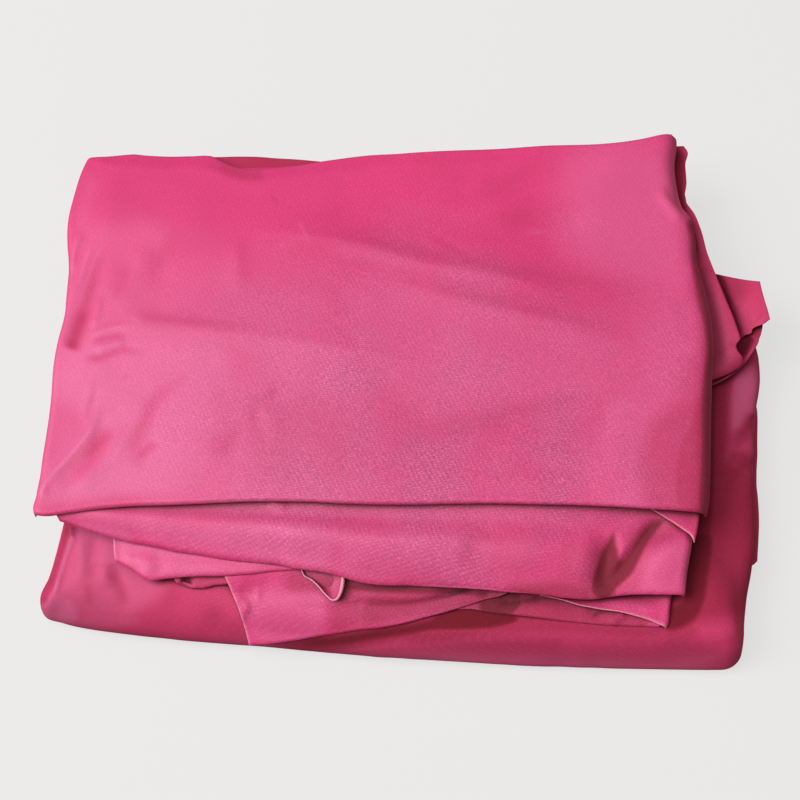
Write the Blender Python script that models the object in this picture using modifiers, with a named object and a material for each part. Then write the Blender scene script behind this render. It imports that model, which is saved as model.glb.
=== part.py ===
"""Aerial yoga hammock, put away as a folded pack of knitted nylon cloth.

The hammock is one sheet of cloth, cut to 5 m by 2.8 m. It is folded lengthwise
into a strip of eight plies, and the strip is folded to and fro into a stack of
leaves. Each leaf below is a run of plies that lies between two fold lines.
Metres, +Z up, +X to the right, +Y to the back. The origin is the middle of the
pack's outline on the surface that it lies on.
"""

import math

import bmesh
import bpy

MM = 0.001

# ---------------------------------------------------------------- dimensions
SHEET_WIDTH = 2.80  # the cloth's cut size
SHEET_LENGTH = 5.00
PACK_WIDTH = 0.419
PACK_DEPTH = 0.318
PACK_HEIGHT = 0.065
GAP = 0.3  # between leaves that touch, mm

# Underside and upper side of each leaf, in mm above the surface.
LEVELS = {
    "base_leaf_1": (0.0, 8.2),
    "base_leaf_2": (8.5, 16.7),
    "base_leaf_3": (17.0, 25.2),
    "base_leaf_4": (25.5, 32.9),
    "base_leaf_5": (33.2, 35.2),
    "lower_leaf": (35.6, 38.4),
    "left_tongue": (38.7, 42.3),
    "right_tongue": (38.7, 42.3),
    "front_tongue": (42.6, 46.8),
    "side_leaf": (47.1, 51.0),
    "inner_leaf": (51.4, 53.9),
    "under_panel_leaf": (54.2, 59.2),
    "top_panel": (59.5, 65.0),
}

# Fold lines that open, in mm: a point on each and the line's direction.
UPPER_FOLD = (0.0, 160.5, 35.4)  # the upper packet turns back about this line, along X
PANEL_FOLD = (0.0, -90.6, 59.35)  # the top panel turns forward about this line, along X
SIDE_FOLD = (191.0, 40.0, 40.8)  # the corner at the right turns up about this line, along Y
FRONT_FOLD = (-45.0, -129.5, 31.4)  # the loose front corner turns up about this line

SHEET_PLY = 1.2  # a loose corner, a few plies thick, mm

# ------------------------------------------------------------------ outlines
# Plan outlines of the leaves in mm, anticlockwise from the left side.
BASE = [
    (-197, 0), (-196, -40), (-200, -81), (-202, -105), (-206, -118),
    (-209.5, -127), (-206, -133), (-194, -137), (-160, -142), (-93, -148),
    (-9, -154), (80, -157.5), (157, -159), (171, -158), (178, -152),
    (181, -144), (183, -130), (189, -100), (195, -88), (199, -70),
    (201, -50), (201, -20), (203, 0), (206, 25), (206, 45),
    (198, 62), (184, 76), (177, 95), (175, 125), (173, 148),
    (165, 154), (100, 155), (0, 152), (-100, 150), (-180, 150),
    (-195, 144), (-199, 120), (-199, 60),
]
LOWER = [
    (-199, 30), (-198, -60), (-196, -88), (-170, -98), (-120, -106),
    (-60, -112), (20, -120), (48, -124), (66, -139), (103, -143),
    (127, -143), (140, -132), (150, -100), (165, -40), (171, 20),
    (172, 90), (170, 150), (100, 152), (0, 149), (-100, 147),
    (-190, 146), (-199, 130),
]
LEFT_TONGUE = [
    (-199, 30), (-198, -60), (-172, -88), (-166, -97), (-165, -108),
    (-156, -113), (-144, -119.5), (-134, -117), (-111, -117), (-85, -116),
    (-63, -114), (-45, -110), (-25, -100), (-20, -60), (-20, 60),
    (-20, 146), (-100, 146), (-190, 145), (-199, 130),
]
RIGHT_TONGUE = [
    (-15, -60), (0, -112), (40, -122), (83, -130), (105, -137),
    (124, -140), (135, -145), (138, -137), (139, -128), (150, -95),
    (160, -40), (168, 20), (170, 90), (168, 150), (80, 152),
    (-15, 149), (-15, 40),
]
FRONT_TONGUE = [
    (-200, 30), (-196, -60), (-195, -86), (-188, -90), (-173, -96),
    (-155, -101), (-117, -107.5), (-90, -111), (-62, -115.5), (-42, -119),
    (-24, -124), (20, -125.5), (54, -128), (77, -130.5), (100, -130.5),
    (120, -129), (143, -130), (146, -122), (148, -110), (151, -100),
    (156, -60), (164, 0), (168, 60), (166, 120), (166, 152),
    (80, 152), (0, 149), (-100, 147), (-190, 146), (-200, 130),
]
SIDE = [
    (-199, 30), (-198, -60), (-190, -74), (0, -72), (100, -68),
    (150, -40), (172, 1), (184, 5.5), (190.5, 8.5), (193, 14),
    (188.5, 23), (190.5, 29), (188.5, 38), (185, 51), (178, 71),
    (174, 87), (170, 109), (166, 121), (168, 134), (170, 150),
    (167, 157), (100, 153), (0, 150), (-190, 146), (-199, 130),
]
INNER = [
    (-199, 30), (-199, -78), (-190, -84), (-100, -82), (0, -82),
    (100, -84), (126, -86), (136, -91), (149, -100), (153, -96),
    (155, -88), (160, -60), (166, 0), (169, 50), (166, 90),
    (163, 120), (164, 150), (160, 157), (100, 153), (0, 147),
    (-60, 146), (-190, 144), (-199, 130),
]
UNDER_PANEL = [
    (-201, 30), (-200, -76), (-192, -83), (-100, -81), (0, -80),
    (100, -82), (150, -86), (158, -60), (163, -10), (167, 30),
    (165, 65), (163, 100), (165, 130), (167, 148), (164, 156),
    (114, 153), (52, 149), (-9, 146), (-58, 147), (-95, 147.5),
    (-120, 146), (-150, 142), (-190, 142), (-200, 130),
]
PANEL = [
    (-203, 50), (-205, 0), (-204, -50), (-204.5, -86), (-196, -89.5),
    (-172, -86), (-126, -84.5), (-80, -82.5), (-20, -83), (72, -84.5),
    (126, -86.5), (143, -88), (155, -89.5), (158, -75), (164, -33),
    (168, -9), (171, 15), (171, 30), (169, 48), (166, 70),
    (165, 95), (162, 115), (161, 135), (162, 152), (160, 159),
    (139, 156.5), (114, 154), (52, 149.5), (-9, 144.5), (-58, 138),
    (-76, 138), (-95, 141), (-122, 143), (-149, 142), (-171, 145),
    (-192, 144.5), (-201, 141.5), (-204, 126), (-205, 90),
]

# How far each base leaf stands back from the widest outline: front, right,
# back and left, in mm. Together they give the base its rounded front.
BASE_INSET = {
    "base_leaf_1": (0, 0, 0, 0),
    "base_leaf_2": (4.5, 0, 0, 2),
    "base_leaf_3": (12, 2, 1, 4),
    "base_leaf_4": (24, 5, 2, 6),
    "base_leaf_5": (34, 9, 3, 7),
}

# The base's front slope: height, and distance behind the foot of the front.
FRONT_SLOPE = [
    (38, 36), (35, 30), (33, 25.5), (28, 16.5), (22, 9), (16, 3.5), (10, -0.8), (6, -1.6),
]
FRONT_FOOT = [(-210, -127), (-194, -137), (-160, -142), (-93, -148), (-9, -154), (80, -157.5), (157, -159)]

# --------------------------------------------------------------------- tools
for obj in list(bpy.data.objects):
    bpy.data.objects.remove(obj)

parts = bpy.data.collections.new("aerial_yoga_hammock")
bpy.context.scene.collection.children.link(parts)


def cloth(name, colour, roughness):
    """Knitted nylon: the given colour, no metal."""
    material = bpy.data.materials.new(name)
    material.use_nodes = True
    shader = material.node_tree.nodes["Principled BSDF"]
    shader.inputs["Base Color"].default_value = (*colour, 1.0)
    shader.inputs["Roughness"].default_value = roughness
    shader.inputs["Metallic"].default_value = 0.0
    return material


def between(table, x):
    """The value at x of a table of (x, value) pairs in rising or falling x."""
    rows = sorted(table)
    if x <= rows[0][0]:
        return rows[0][1]
    for (x0, y0), (x1, y1) in zip(rows, rows[1:]):
        if x <= x1:
            return y0 + (y1 - y0) * (x - x0) / (x1 - x0)
    return rows[-1][1]


def rounded(outline, steps):
    """A smooth closed line through the outline's points."""
    count, line = len(outline), []
    for i in range(count):
        a, b, c, d = (outline[(i + k) % count] for k in (-1, 0, 1, 2))
        for s in range(steps):
            t = s / steps
            line.append(
                tuple(
                    0.5 * (2 * b[k] + (c[k] - a[k]) * t
                           + (2 * a[k] - 5 * b[k] + 4 * c[k] - d[k]) * t * t
                           + (3 * b[k] - a[k] - 3 * c[k] + d[k]) * t ** 3)
                    for k in (0, 1)
                )
            )
    return line


def set_back(outline, front, right, back, left):
    """The outline with its four sides moved inward."""
    moved = []
    for x, y in outline:
        y += front if y < -100 else (-back if y > 100 else 0)
        x += left if x < -150 else (-right if x > 150 else 0)
        moved.append((x, y))
    return moved


def hang(obj, at, parent):
    """Puts obj at a point in mm, under its fold line if it has one."""
    parts.objects.link(obj)
    if parent is None:
        obj.location = [c * MM for c in at]
    else:
        obj.parent = parent
        obj.location = [c * MM - p for c, p in zip(at, parent.location)]
    return obj


def fold_line(name, at):
    """An empty on the line that a leaf turns about."""
    empty = bpy.data.objects.new(name, None)
    empty.empty_display_size = 0.03
    parts.objects.link(empty)
    empty.location = [c * MM for c in at]
    return empty


def leaf(name, outline, roll, material, parent=None, steps=1):
    """A flat run of plies with rounded fold edges: a filled outline, extruded and bevelled."""
    low, high = LEVELS[name]
    curve = bpy.data.curves.new(name, "CURVE")
    curve.dimensions = "2D"
    curve.fill_mode = "BOTH"
    curve.extrude = ((high - low) / 2 - roll) * MM
    curve.bevel_depth = roll * MM
    curve.bevel_resolution = 1
    curve.offset = -roll * MM
    line = rounded(outline, steps)
    spline = curve.splines.new("POLY")
    spline.points.add(len(line) - 1)
    for point, (x, y) in zip(spline.points, line):
        point.co = (x * MM, y * MM, 0.0, 1.0)
    spline.use_cyclic_u = True
    obj = bpy.data.objects.new(name, curve)
    obj.data.materials.append(material)
    return hang(obj, (0, 0, (low + high) / 2), parent)


def loose_ply(name, place, across, along, material, parent=None, thick=SHEET_PLY):
    """A bent sheet of cloth: an open grid that place(u, v) lays out in mm, with Solidify."""
    mesh = bpy.data.meshes.new(name)
    shape = bmesh.new()
    bmesh.ops.create_grid(shape, x_segments=across, y_segments=along, size=0.5)
    for vertex in shape.verts:
        spot = place(vertex.co.x + 0.5, vertex.co.y + 0.5)
        vertex.co = [c * MM for c in spot]
    shape.to_mesh(mesh)
    shape.free()
    origin = (0, 0, 0)
    if parent is not None:
        origin = [c / MM for c in parent.location]
        for vertex in mesh.vertices:
            vertex.co = [c - p for c, p in zip(vertex.co, parent.location)]
    obj = bpy.data.objects.new(name, mesh)
    obj.data.materials.append(material)
    solid = obj.modifiers.new("plies", "SOLIDIFY")
    solid.thickness = thick * MM
    solid.offset = 0.0
    solid.use_even_offset = True
    mesh.shade_smooth()
    return hang(obj, origin, parent)


# ----------------------------------------------------------------- materials
pink = cloth("pink_tricot", (0.72, 0.13, 0.30), 0.55)
deep_pink = cloth("deep_pink_tricot", (0.58, 0.07, 0.20), 0.6)
pale_edge = cloth("selvedge", (0.85, 0.35, 0.50), 0.5)

# --------------------------------------------------------------- fold lines
upper_fold = fold_line("upper_fold_line", UPPER_FOLD)
panel_fold = fold_line("panel_fold_line", PANEL_FOLD)
side_fold_line = fold_line("side_fold_line", SIDE_FOLD)
front_fold_line = fold_line("front_fold_line", FRONT_FOLD)

# -------------------------------------------------------------- base packet
for number, roll in ((1, 3.4), (2, 3.4), (3, 3.4), (4, 3.2), (5, 0.8)):
    name = f"base_leaf_{number}"
    leaf(name, set_back(BASE, *BASE_INSET[name]), roll, deep_pink if number % 2 else pink)


def slope(x, z):
    """The base's front face at a place along the pack and a height, as y."""
    return between(FRONT_FOOT, x) + between(FRONT_SLOPE, z)


def flap_root(u, v):
    """The upper part of the loose front corner, lying on the base's shoulder."""
    x = -103 + 133 * u
    z = 34.9 - 2.9 * v
    return (x, slope(x, z), z)


def flap(u, v):
    """The loose front corner, which hangs over the base's front and narrows to the right."""
    x = (-101 + 7 * v) + (104 - 5 * v) * u
    tip = 8.5 + (x + 101) * 0.19
    z = 31.0 + (tip - 31.0) * v
    return (x, slope(x, z), z)


loose_ply("front_flap_root", flap_root, 10, 3, pink)
loose_ply("front_flap", flap, 10, 7, pink, front_fold_line)

# ------------------------------------------------------------- upper packet
leaf("lower_leaf", LOWER, 1.2, deep_pink, upper_fold)
leaf("left_tongue", LEFT_TONGUE, 1.5, pink, upper_fold)
leaf("right_tongue", RIGHT_TONGUE, 1.5, pink, upper_fold)
leaf("front_tongue", FRONT_TONGUE, 1.8, pink, upper_fold)
leaf("side_leaf", SIDE, 1.6, deep_pink, upper_fold)
leaf("inner_leaf", INNER, 1.0, pink, upper_fold)
leaf("under_panel_leaf", UNDER_PANEL, 2.2, deep_pink, upper_fold)


def side_root(u, v):
    """The ply that comes out under the side leaf, up to the corner's fold line."""
    x = 171.8 + 18.3 * u
    low, high = -4 + 15.5 * u, 62 + 5 * u
    return (x, low + (high - low) * v, 40.2 + 1.0 * u)


CORNER_TIP = [(0, 193), (0.1, 197.5), (0.25, 203), (0.4, 207), (0.55, 208.9), (0.8, 208), (1, 205.5)]
CORNER_TIP_Y = [(0, 13), (0.1, 18.5), (0.25, 28), (0.4, 35.5), (0.55, 43), (0.8, 55), (1, 63.5)]


def corner(u, v):
    """The corner that stands out over the base at the right, rising to its tip."""
    x = 191.9 + (between(CORNER_TIP, v) - 191.9) * u
    y = (12 + 55.5 * v) * (1 - u) + between(CORNER_TIP_Y, v) * u
    rise = 5.6 * math.sin(math.pi * min(1.0, 0.15 + 0.75 * v)) * u
    return (x, y, 41.2 + rise)


loose_ply("side_fold", side_root, 4, 6, pink, upper_fold)
loose_ply("side_corner", corner, 5, 9, pink, side_fold_line)


def curl(u, v):
    """A rolled bit of selvedge: three quarters of a tube, about 8 mm across."""
    turn = math.radians(-60 + 270 * u)
    x0, y0, z0 = -56 + 11 * v, -121.2 - 8.3 * v, 41.0 - 2.4 * v
    radius = 3.5 - 0.5 * v
    return (
        x0 + 0.61 * radius * math.cos(turn),
        y0 + 0.79 * radius * math.cos(turn),
        z0 + radius * math.sin(turn),
    )


loose_ply("selvedge_curl", curl, 12, 4, pale_edge, upper_fold, thick=0.9)

# ---------------------------------------------------------------- top panel
leaf("top_panel", PANEL, 2.5, pink, panel_fold)
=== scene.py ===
import math

import bpy
import numpy as np
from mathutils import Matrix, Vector
from mathutils.bvhtree import BVHTree


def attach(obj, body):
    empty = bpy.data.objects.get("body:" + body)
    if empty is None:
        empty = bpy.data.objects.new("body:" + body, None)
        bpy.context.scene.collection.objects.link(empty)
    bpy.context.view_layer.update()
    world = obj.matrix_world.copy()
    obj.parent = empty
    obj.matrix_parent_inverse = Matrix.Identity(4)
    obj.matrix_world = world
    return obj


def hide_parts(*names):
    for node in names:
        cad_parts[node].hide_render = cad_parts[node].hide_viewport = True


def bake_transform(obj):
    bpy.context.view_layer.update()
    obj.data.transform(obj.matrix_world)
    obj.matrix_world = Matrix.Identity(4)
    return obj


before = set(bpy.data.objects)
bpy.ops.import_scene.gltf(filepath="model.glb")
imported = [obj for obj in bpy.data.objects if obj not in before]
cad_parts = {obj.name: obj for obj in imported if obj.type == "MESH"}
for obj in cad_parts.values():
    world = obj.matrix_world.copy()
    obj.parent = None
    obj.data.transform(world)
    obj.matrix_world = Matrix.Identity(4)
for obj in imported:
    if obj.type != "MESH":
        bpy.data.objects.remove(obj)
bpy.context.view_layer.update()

# ------------------------------------------------------------------ the view
# All modelling below is in millimetres in the part's own frame. Outlines that
# show in the picture are given by their place in its 800 x 800 frame and their
# height above the surface that the pack lies on.
MM = 0.001
LENS = 60.0
FOCAL = LENS / 36.0 * 800.0
TILT = math.radians(65.0)
CAM = np.array([-8.5, -337.0, 739.0])
LOOK = np.array([0.0, math.cos(TILT), -math.sin(TILT)])
UP = np.array([0.0, math.sin(TILT), math.cos(TILT)])


def at(px, py, z):
    """The point at height z that shows at (px, py)."""
    a, b = (px - 400.0) / FOCAL, (400.0 - py) / FOCAL
    ray = LOOK + a * np.array([1.0, 0.0, 0.0]) + b * UP
    t = (CAM[2] - z) / -ray[2]
    return CAM + ray * t


def seen(points):
    """Where points show, as an N x 2 array."""
    d = points - CAM
    depth = d @ LOOK
    return np.stack([400.0 + FOCAL * d[:, 0] / depth, 400.0 - FOCAL * (d @ UP) / depth], 1)


# ------------------------------------------------------------- small helpers
def smooth(x, a=0.0, b=1.0):
    t = np.clip((x - a) / (b - a), 0.0, 1.0)
    return t * t * (3.0 - 2.0 * t)


def spline(points, per=12, closed=False):
    """A smooth line through the points (centripetal Catmull-Rom)."""
    p = np.array(points, float)
    if closed:
        p = np.vstack([p[-1], p, p[0], p[1]])
    else:
        p = np.vstack([2 * p[0] - p[1], p, 2 * p[-1] - p[-2]])
    out = []
    for i in range(1, len(p) - 2):
        a, b, c, d = p[i - 1], p[i], p[i + 1], p[i + 2]
        t0 = 0.0
        t1 = t0 + max(np.linalg.norm(b - a), 1e-6) ** 0.5
        t2 = t1 + max(np.linalg.norm(c - b), 1e-6) ** 0.5
        t3 = t2 + max(np.linalg.norm(d - c), 1e-6) ** 0.5
        t = np.linspace(t1, t2, per, endpoint=False)[:, None]
        e = (t1 - t) / (t1 - t0) * a + (t - t0) / (t1 - t0) * b
        f = (t2 - t) / (t2 - t1) * b + (t - t1) / (t2 - t1) * c
        g = (t3 - t) / (t3 - t2) * c + (t - t2) / (t3 - t2) * d
        h = (t2 - t) / (t2 - t0) * e + (t - t0) / (t2 - t0) * f
        k = (t3 - t) / (t3 - t1) * f + (t - t1) / (t3 - t1) * g
        out.append((t2 - t) / (t2 - t1) * h + (t - t1) / (t2 - t1) * k)
    line = np.vstack(out)
    return line if closed else np.vstack([line, p[-2]])


class Line:
    """A smooth open line that is read by its share of length, 0 to 1."""

    def __init__(self, points):
        self.p = spline(points)
        step = np.linalg.norm(np.diff(self.p, axis=0), axis=1)
        self.s = np.concatenate([[0.0], np.cumsum(step)])
        self.length = self.s[-1]
        self.s = self.s / self.length

    def __call__(self, t):
        return np.stack([np.interp(t, self.s, self.p[:, k]) for k in range(3)], -1)


def edge(points, z=None):
    """A Line through picture points (px, py) at height z, or (px, py, z)."""
    return Line([at(q[0], q[1], z if z is not None else q[2]) for q in points])


def noise(p, scale, seed):
    """Smooth noise in -1..1 at points p, with lumps of about scale mm."""
    q = p / scale + 37.0 * seed
    i = np.floor(q).astype(np.int64)
    f = q - i
    f = f * f * f * (f * (f * 6 - 15) + 10)
    total = np.zeros(len(p))
    for dx in (0, 1):
        for dy in (0, 1):
            for dz in (0, 1):
                n = ((i[:, 0] + dx) * 73856093 ^ (i[:, 1] + dy) * 19349663 ^ (i[:, 2] + dz) * 83492791) + seed * 7919
                n = n & 0xFFFFFFFF
                n = ((n ^ (n >> 13)) * 1274126177) & 0xFFFFFFFF
                n = (n ^ (n >> 16)) & 0xFFFF
                w = (
                    (f[:, 0] if dx else 1 - f[:, 0])
                    * (f[:, 1] if dy else 1 - f[:, 1])
                    * (f[:, 2] if dz else 1 - f[:, 2])
                )
                total += w * (n / 32767.5 - 1.0)
    return total


def grid_normals(g):
    """Unit normals of an m x n x 3 grid whose columns run to +X and rows to +Y on its upper side."""
    du = np.gradient(g, axis=1)
    dv = np.gradient(g, axis=0)
    n = np.cross(du, dv)
    return n / np.maximum(np.linalg.norm(n, axis=-1, keepdims=True), 1e-9)


def nearest(spots, line):
    """Distance, side and share of length of each spot from a line in the picture."""
    best = np.full(len(spots), 1e9)
    side = np.ones(len(spots))
    share = np.zeros(len(spots))
    seg = np.diff(line, axis=0)
    length = np.linalg.norm(seg, axis=1)
    start = np.concatenate([[0], np.cumsum(length)])
    for k in range(len(seg)):
        if length[k] < 1e-9:
            continue
        rel = spots - line[k]
        t = np.clip((rel @ seg[k]) / length[k] ** 2, 0, 1)
        off = rel - t[:, None] * seg[k]
        d = np.hypot(off[:, 0], off[:, 1])
        hit = d < best
        best[hit] = d[hit]
        side[hit] = np.sign(seg[k][0] * rel[hit, 1] - seg[k][1] * rel[hit, 0])
        share[hit] = (start[k] + t[hit] * length[k]) / start[-1]
    return best, side, share


def strokes(points, normals, items):
    """How far each point moves along its normal for the folds drawn as lines in the picture.
    Each item is (kind, height in mm, width in pixels, points, fade at the start, fade at the end).
    Kinds: r a round ridge, v a ridge with a sharp crest, c a crease, high on the line's right and low on its left,
    and a a round ridge with two widths, on the line's right and on its left."""
    move = np.zeros(len(points))
    spots = seen(points)
    facing = smooth(np.einsum("ij,ij->i", normals, CAM - points) / 700.0, 0.0, 0.25)
    for item in items:
        kind, height, width, line = item[:4]
        fade0, fade1 = (item[4:] + (0.3, 0.3))[:2] if len(item) > 4 else (0.3, 0.3)
        line = spline(line, 6)
        broad = max(width) if kind == "a" else width
        low, high = line.min(0) - 5 * broad, line.max(0) + 5 * broad
        near = np.where(((spots > low) & (spots < high)).all(1))[0]
        if not len(near):
            continue
        d, side, share = nearest(spots[near], line)
        q = d / (np.where(side > 0, width[0], width[1]) if kind == "a" else width)
        f = np.ones(len(near))
        if fade0:
            f *= smooth(share, 0.0, fade0)
        if fade1:
            f *= 1 - smooth(share, 1 - fade1, 1.0)
        if kind in "ra":
            shape = np.exp(-0.5 * q * q)
        elif kind == "v":
            shape = np.exp(-np.sqrt(q * q + 0.02) + 0.1414)
        else:
            shape = side * q * np.exp(0.5 - 0.5 * q * q)
        move[near] += height * f * shape
    return move * facing


def inside(spots, outline, soft):
    """1 inside a closed outline in the picture and 0 outside it, with an edge that is soft pixels wide each way."""
    ring = spline(outline, 6, closed=True)
    closed = np.vstack([ring, ring[:1]])
    d, _, _ = nearest(spots, closed)
    odd = np.zeros(len(spots), bool)
    for (x0, y0), (x1, y1) in zip(closed[:-1], closed[1:]):
        if y0 == y1:
            continue
        crosses = (y0 > spots[:, 1]) != (y1 > spots[:, 1])
        odd ^= crosses & (spots[:, 0] < (x1 - x0) * (spots[:, 1] - y0) / (y1 - y0) + x0)
    return smooth(np.where(odd, d, -d), -soft, soft)


def painted_shade_and_highlight(points, normals, items):
    """The strength, 0 to 1, of painted shade at each point, and where pale items are given, of painted highlight. An
    item is a line, as in strokes, or (amount, soft, outline).
    An item with a negative amount takes that share of the earlier ones away."""
    total = np.zeros(len(points))
    spots = seen(points)
    up = smooth(np.einsum("ij,ij->i", normals, CAM - points) / 700.0, 0.0, 0.25)
    for item in items:
        if isinstance(item[0], str):
            amount = item[1]
            value = strokes(points, normals, [(item[0], abs(amount), *item[2:])])
        else:
            amount, soft, outline = item
            value = abs(amount) * inside(spots, outline, soft) * up
        total = np.maximum(total, value) if amount > 0 else total * (1 - np.clip(value, 0, 1))
    return np.clip(total, 0, 1)


def make(name, points, quads, edge_mask=None, thick=None, painted_shade=None, pale=None):
    """A smooth mesh object from points in mm."""
    mesh = bpy.data.meshes.new(name)
    mesh.from_pydata((points * MM).tolist(), [], quads.tolist())
    mesh.validate()
    if edge_mask is not None:
        layer = mesh.attributes.new("rim", "FLOAT", "POINT")
        layer.data.foreach_set("value", edge_mask.astype(np.float32).ravel())
    # painted shade and painted highlight are stored as point attributes that the material uses to darken or lighten
    # the colour
    for title, amount in (("painted_shade", painted_shade), ("pale", pale)):
        layer = mesh.attributes.new(title, "FLOAT", "POINT")
        layer.data.foreach_set("value", (np.zeros(len(points)) if amount is None else amount).astype(np.float32).ravel())
    mesh.shade_smooth()
    obj = bpy.data.objects.new(name, mesh)
    bpy.context.scene.collection.objects.link(obj)
    if thick:
        solid = obj.modifiers.new("cloth", "SOLIDIFY")
        solid.thickness = thick * MM
        solid.offset = -1.0
        solid.use_even_offset = False
    return obj


def grid_quads(rows, cols, closed=False):
    j, i = np.mgrid[0:rows - 1, 0:(cols if closed else cols - 1)]
    k = (i + 1) % cols
    return np.stack([j * cols + i, j * cols + k, (j + 1) * cols + k, (j + 1) * cols + i], -1).reshape(-1, 4)


def roll(radius=0, turn=0, tail=0, step=0.7, profile=None):
    """A rolled side, from its free end to where it becomes flat: inset from the outline and drop, both in mm."""
    if profile:
        line = spline(profile, 10)
        d = np.concatenate([[0], np.cumsum(np.linalg.norm(np.diff(line, axis=0), axis=1))])
        t = np.linspace(0, d[-1], int(d[-1] / step) + 2)
        return np.interp(t, d, line[:, 0]), np.interp(t, d, line[:, 1])
    if radius <= 0:
        return np.array([0.0]), np.array([0.0])
    a = math.radians(turn)
    n = max(3, int(radius * a / step))
    phi = np.linspace(a, 0.0, n + 1)
    inset, drop = radius - radius * np.sin(phi), -radius * (1 - np.cos(phi))
    if tail > 0:
        t = np.linspace(tail, 0.0, max(2, int(tail / (step * 1.5))) + 1)[:-1]
        inset = np.concatenate([inset[0] - math.cos(a) * t, inset])
        drop = np.concatenate([drop[0] - math.sin(a) * t, drop])
    return inset, drop


def joined(line, start, end):
    """The line with its ends moved onto two points."""
    out = Line(line.p[[0, -1]])
    out.p = line.p + (start - line.p[0]) * ((1 - line.s) ** 3)[:, None] + (end - line.p[-1]) * (line.s ** 3)[:, None]
    out.s, out.length = line.s, line.length
    return out


def ply(name, front, right, back, left, rolls=None, pitch=1.2, height=None, lift=0.0, level=None,
        folds=(), crumple=((0.3, 32.0), (0.12, 11.0)), seed=1, rims=(), thick=None, scale=None, painted_shade=(), pale=(), over=None):
    """A sheet between four edges, with rolled or raw sides. It rises by lift, or by height(u, v, x, y) in mm,
    above the edges, or above level where that is given. scale holds, per side, how its roll's drop varies along it.
        Its list of painted shade marks gives where shade is painted into its colour, along its folds and in broad soft
        patches; pale gives where a painted highlight lies; and over is a body that it stays above."""
    rolls, scale = rolls or {}, scale or {}
    left, right = joined(left, front(0.0), back(0.0)), joined(right, front(1.0), back(1.0))
    width = 0.5 * (front.length + back.length)
    depth = 0.5 * (left.length + right.length)

    def run(a, b, size):
        ia, da = roll(profile=rolls[a]) if isinstance(rolls.get(a), list) else roll(*rolls.get(a, ()))
        ib, db = roll(profile=rolls[b]) if isinstance(rolls.get(b), list) else roll(*rolls.get(b, ()))
        n = max(4, int((size - ia[-1] - ib[-1]) / pitch))
        inner = np.linspace(ia[-1], size - ib[-1], n + 1)
        place = np.concatenate([ia[:-1], inner, (size - ib[::-1])[1:]])
        drop = np.concatenate([da[:-1], np.zeros(n + 1), db[::-1][1:]])
        arc = np.abs(np.diff(place, prepend=place[0])) + np.abs(np.diff(drop, prepend=drop[0]))
        return place / size, drop, np.cumsum(arc)

    u, du, su = run("left", "right", width)
    v, dv, sv = run("front", "back", depth)
    uu, vv = np.meshgrid(u, v)
    U, V = uu[..., None], vv[..., None]
    f, b, l, r = front(u)[None], back(u)[None], left(v)[:, None], right(v)[:, None]
    c00, c10, c01, c11 = front(0.0), front(1.0), back(0.0), back(1.0)
    g = (1 - V) * f + V * b + (1 - U) * l + U * r
    g = g - ((1 - U) * (1 - V) * c00 + U * (1 - V) * c10 + (1 - U) * V * c01 + U * V * c11)
    if level is not None:
        g[..., 2] = level
    one = lambda t: np.ones_like(t)
    half = len(du) // 2
    gain_u = np.ones_like(uu)
    gain_u[:, :half] = scale.get("left", one)(v)[:, None]
    gain_u[:, half:] = scale.get("right", one)(v)[:, None]
    half = len(dv) // 2
    gain_v = np.ones_like(uu)
    gain_v[:half] = scale.get("front", one)(u)[None, :]
    gain_v[half:] = scale.get("back", one)(u)[None, :]
    g[..., 2] += du[None, :] * gain_u + dv[:, None] * gain_v
    g[..., 2] += height(uu, vv, g[..., 0], g[..., 1]) if height else lift
    n = grid_normals(g)
    pts, nrm = g.reshape(-1, 3), n.reshape(-1, 3)
    move = strokes(pts, nrm, folds)
    for k, (amount, scale) in enumerate(crumple):
        move += amount * noise(pts * np.array([1, 1, 0.6]), scale, seed * 5 + k)
    pts = pts + nrm * move[:, None]
    if over is not None:
        for k, q in enumerate(pts):
            hit = over.ray_cast(Vector((q[0], q[1], 90.0)), Vector((0, 0, -1)))[0]
            if hit is not None and q[2] < hit[2]:
                pts[k, 2] = hit[2]
    mask = np.full(g.shape[:2], 9.0)
    if "left" in rims:
        mask = np.minimum(mask, su[None, :])
    if "right" in rims:
        mask = np.minimum(mask, (su[-1] - su)[None, :])
    if "front" in rims:
        mask = np.minimum(mask, sv[:, None])
    if "back" in rims:
        mask = np.minimum(mask, (sv[-1] - sv)[:, None])
    # the painted shade mask, and below it the painted highlight mask
    inner = painted_shade_and_highlight(pts, nrm, painted_shade) if len(painted_shade) else None
    obj = make(name, pts, grid_quads(*g.shape[:2]), np.clip(1 - mask / 1.3, 0, 1), thick, inner,
               painted_shade_and_highlight(pts, nrm, pale) if len(pale) else None)
    return obj, pts.reshape(g.shape)


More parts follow.
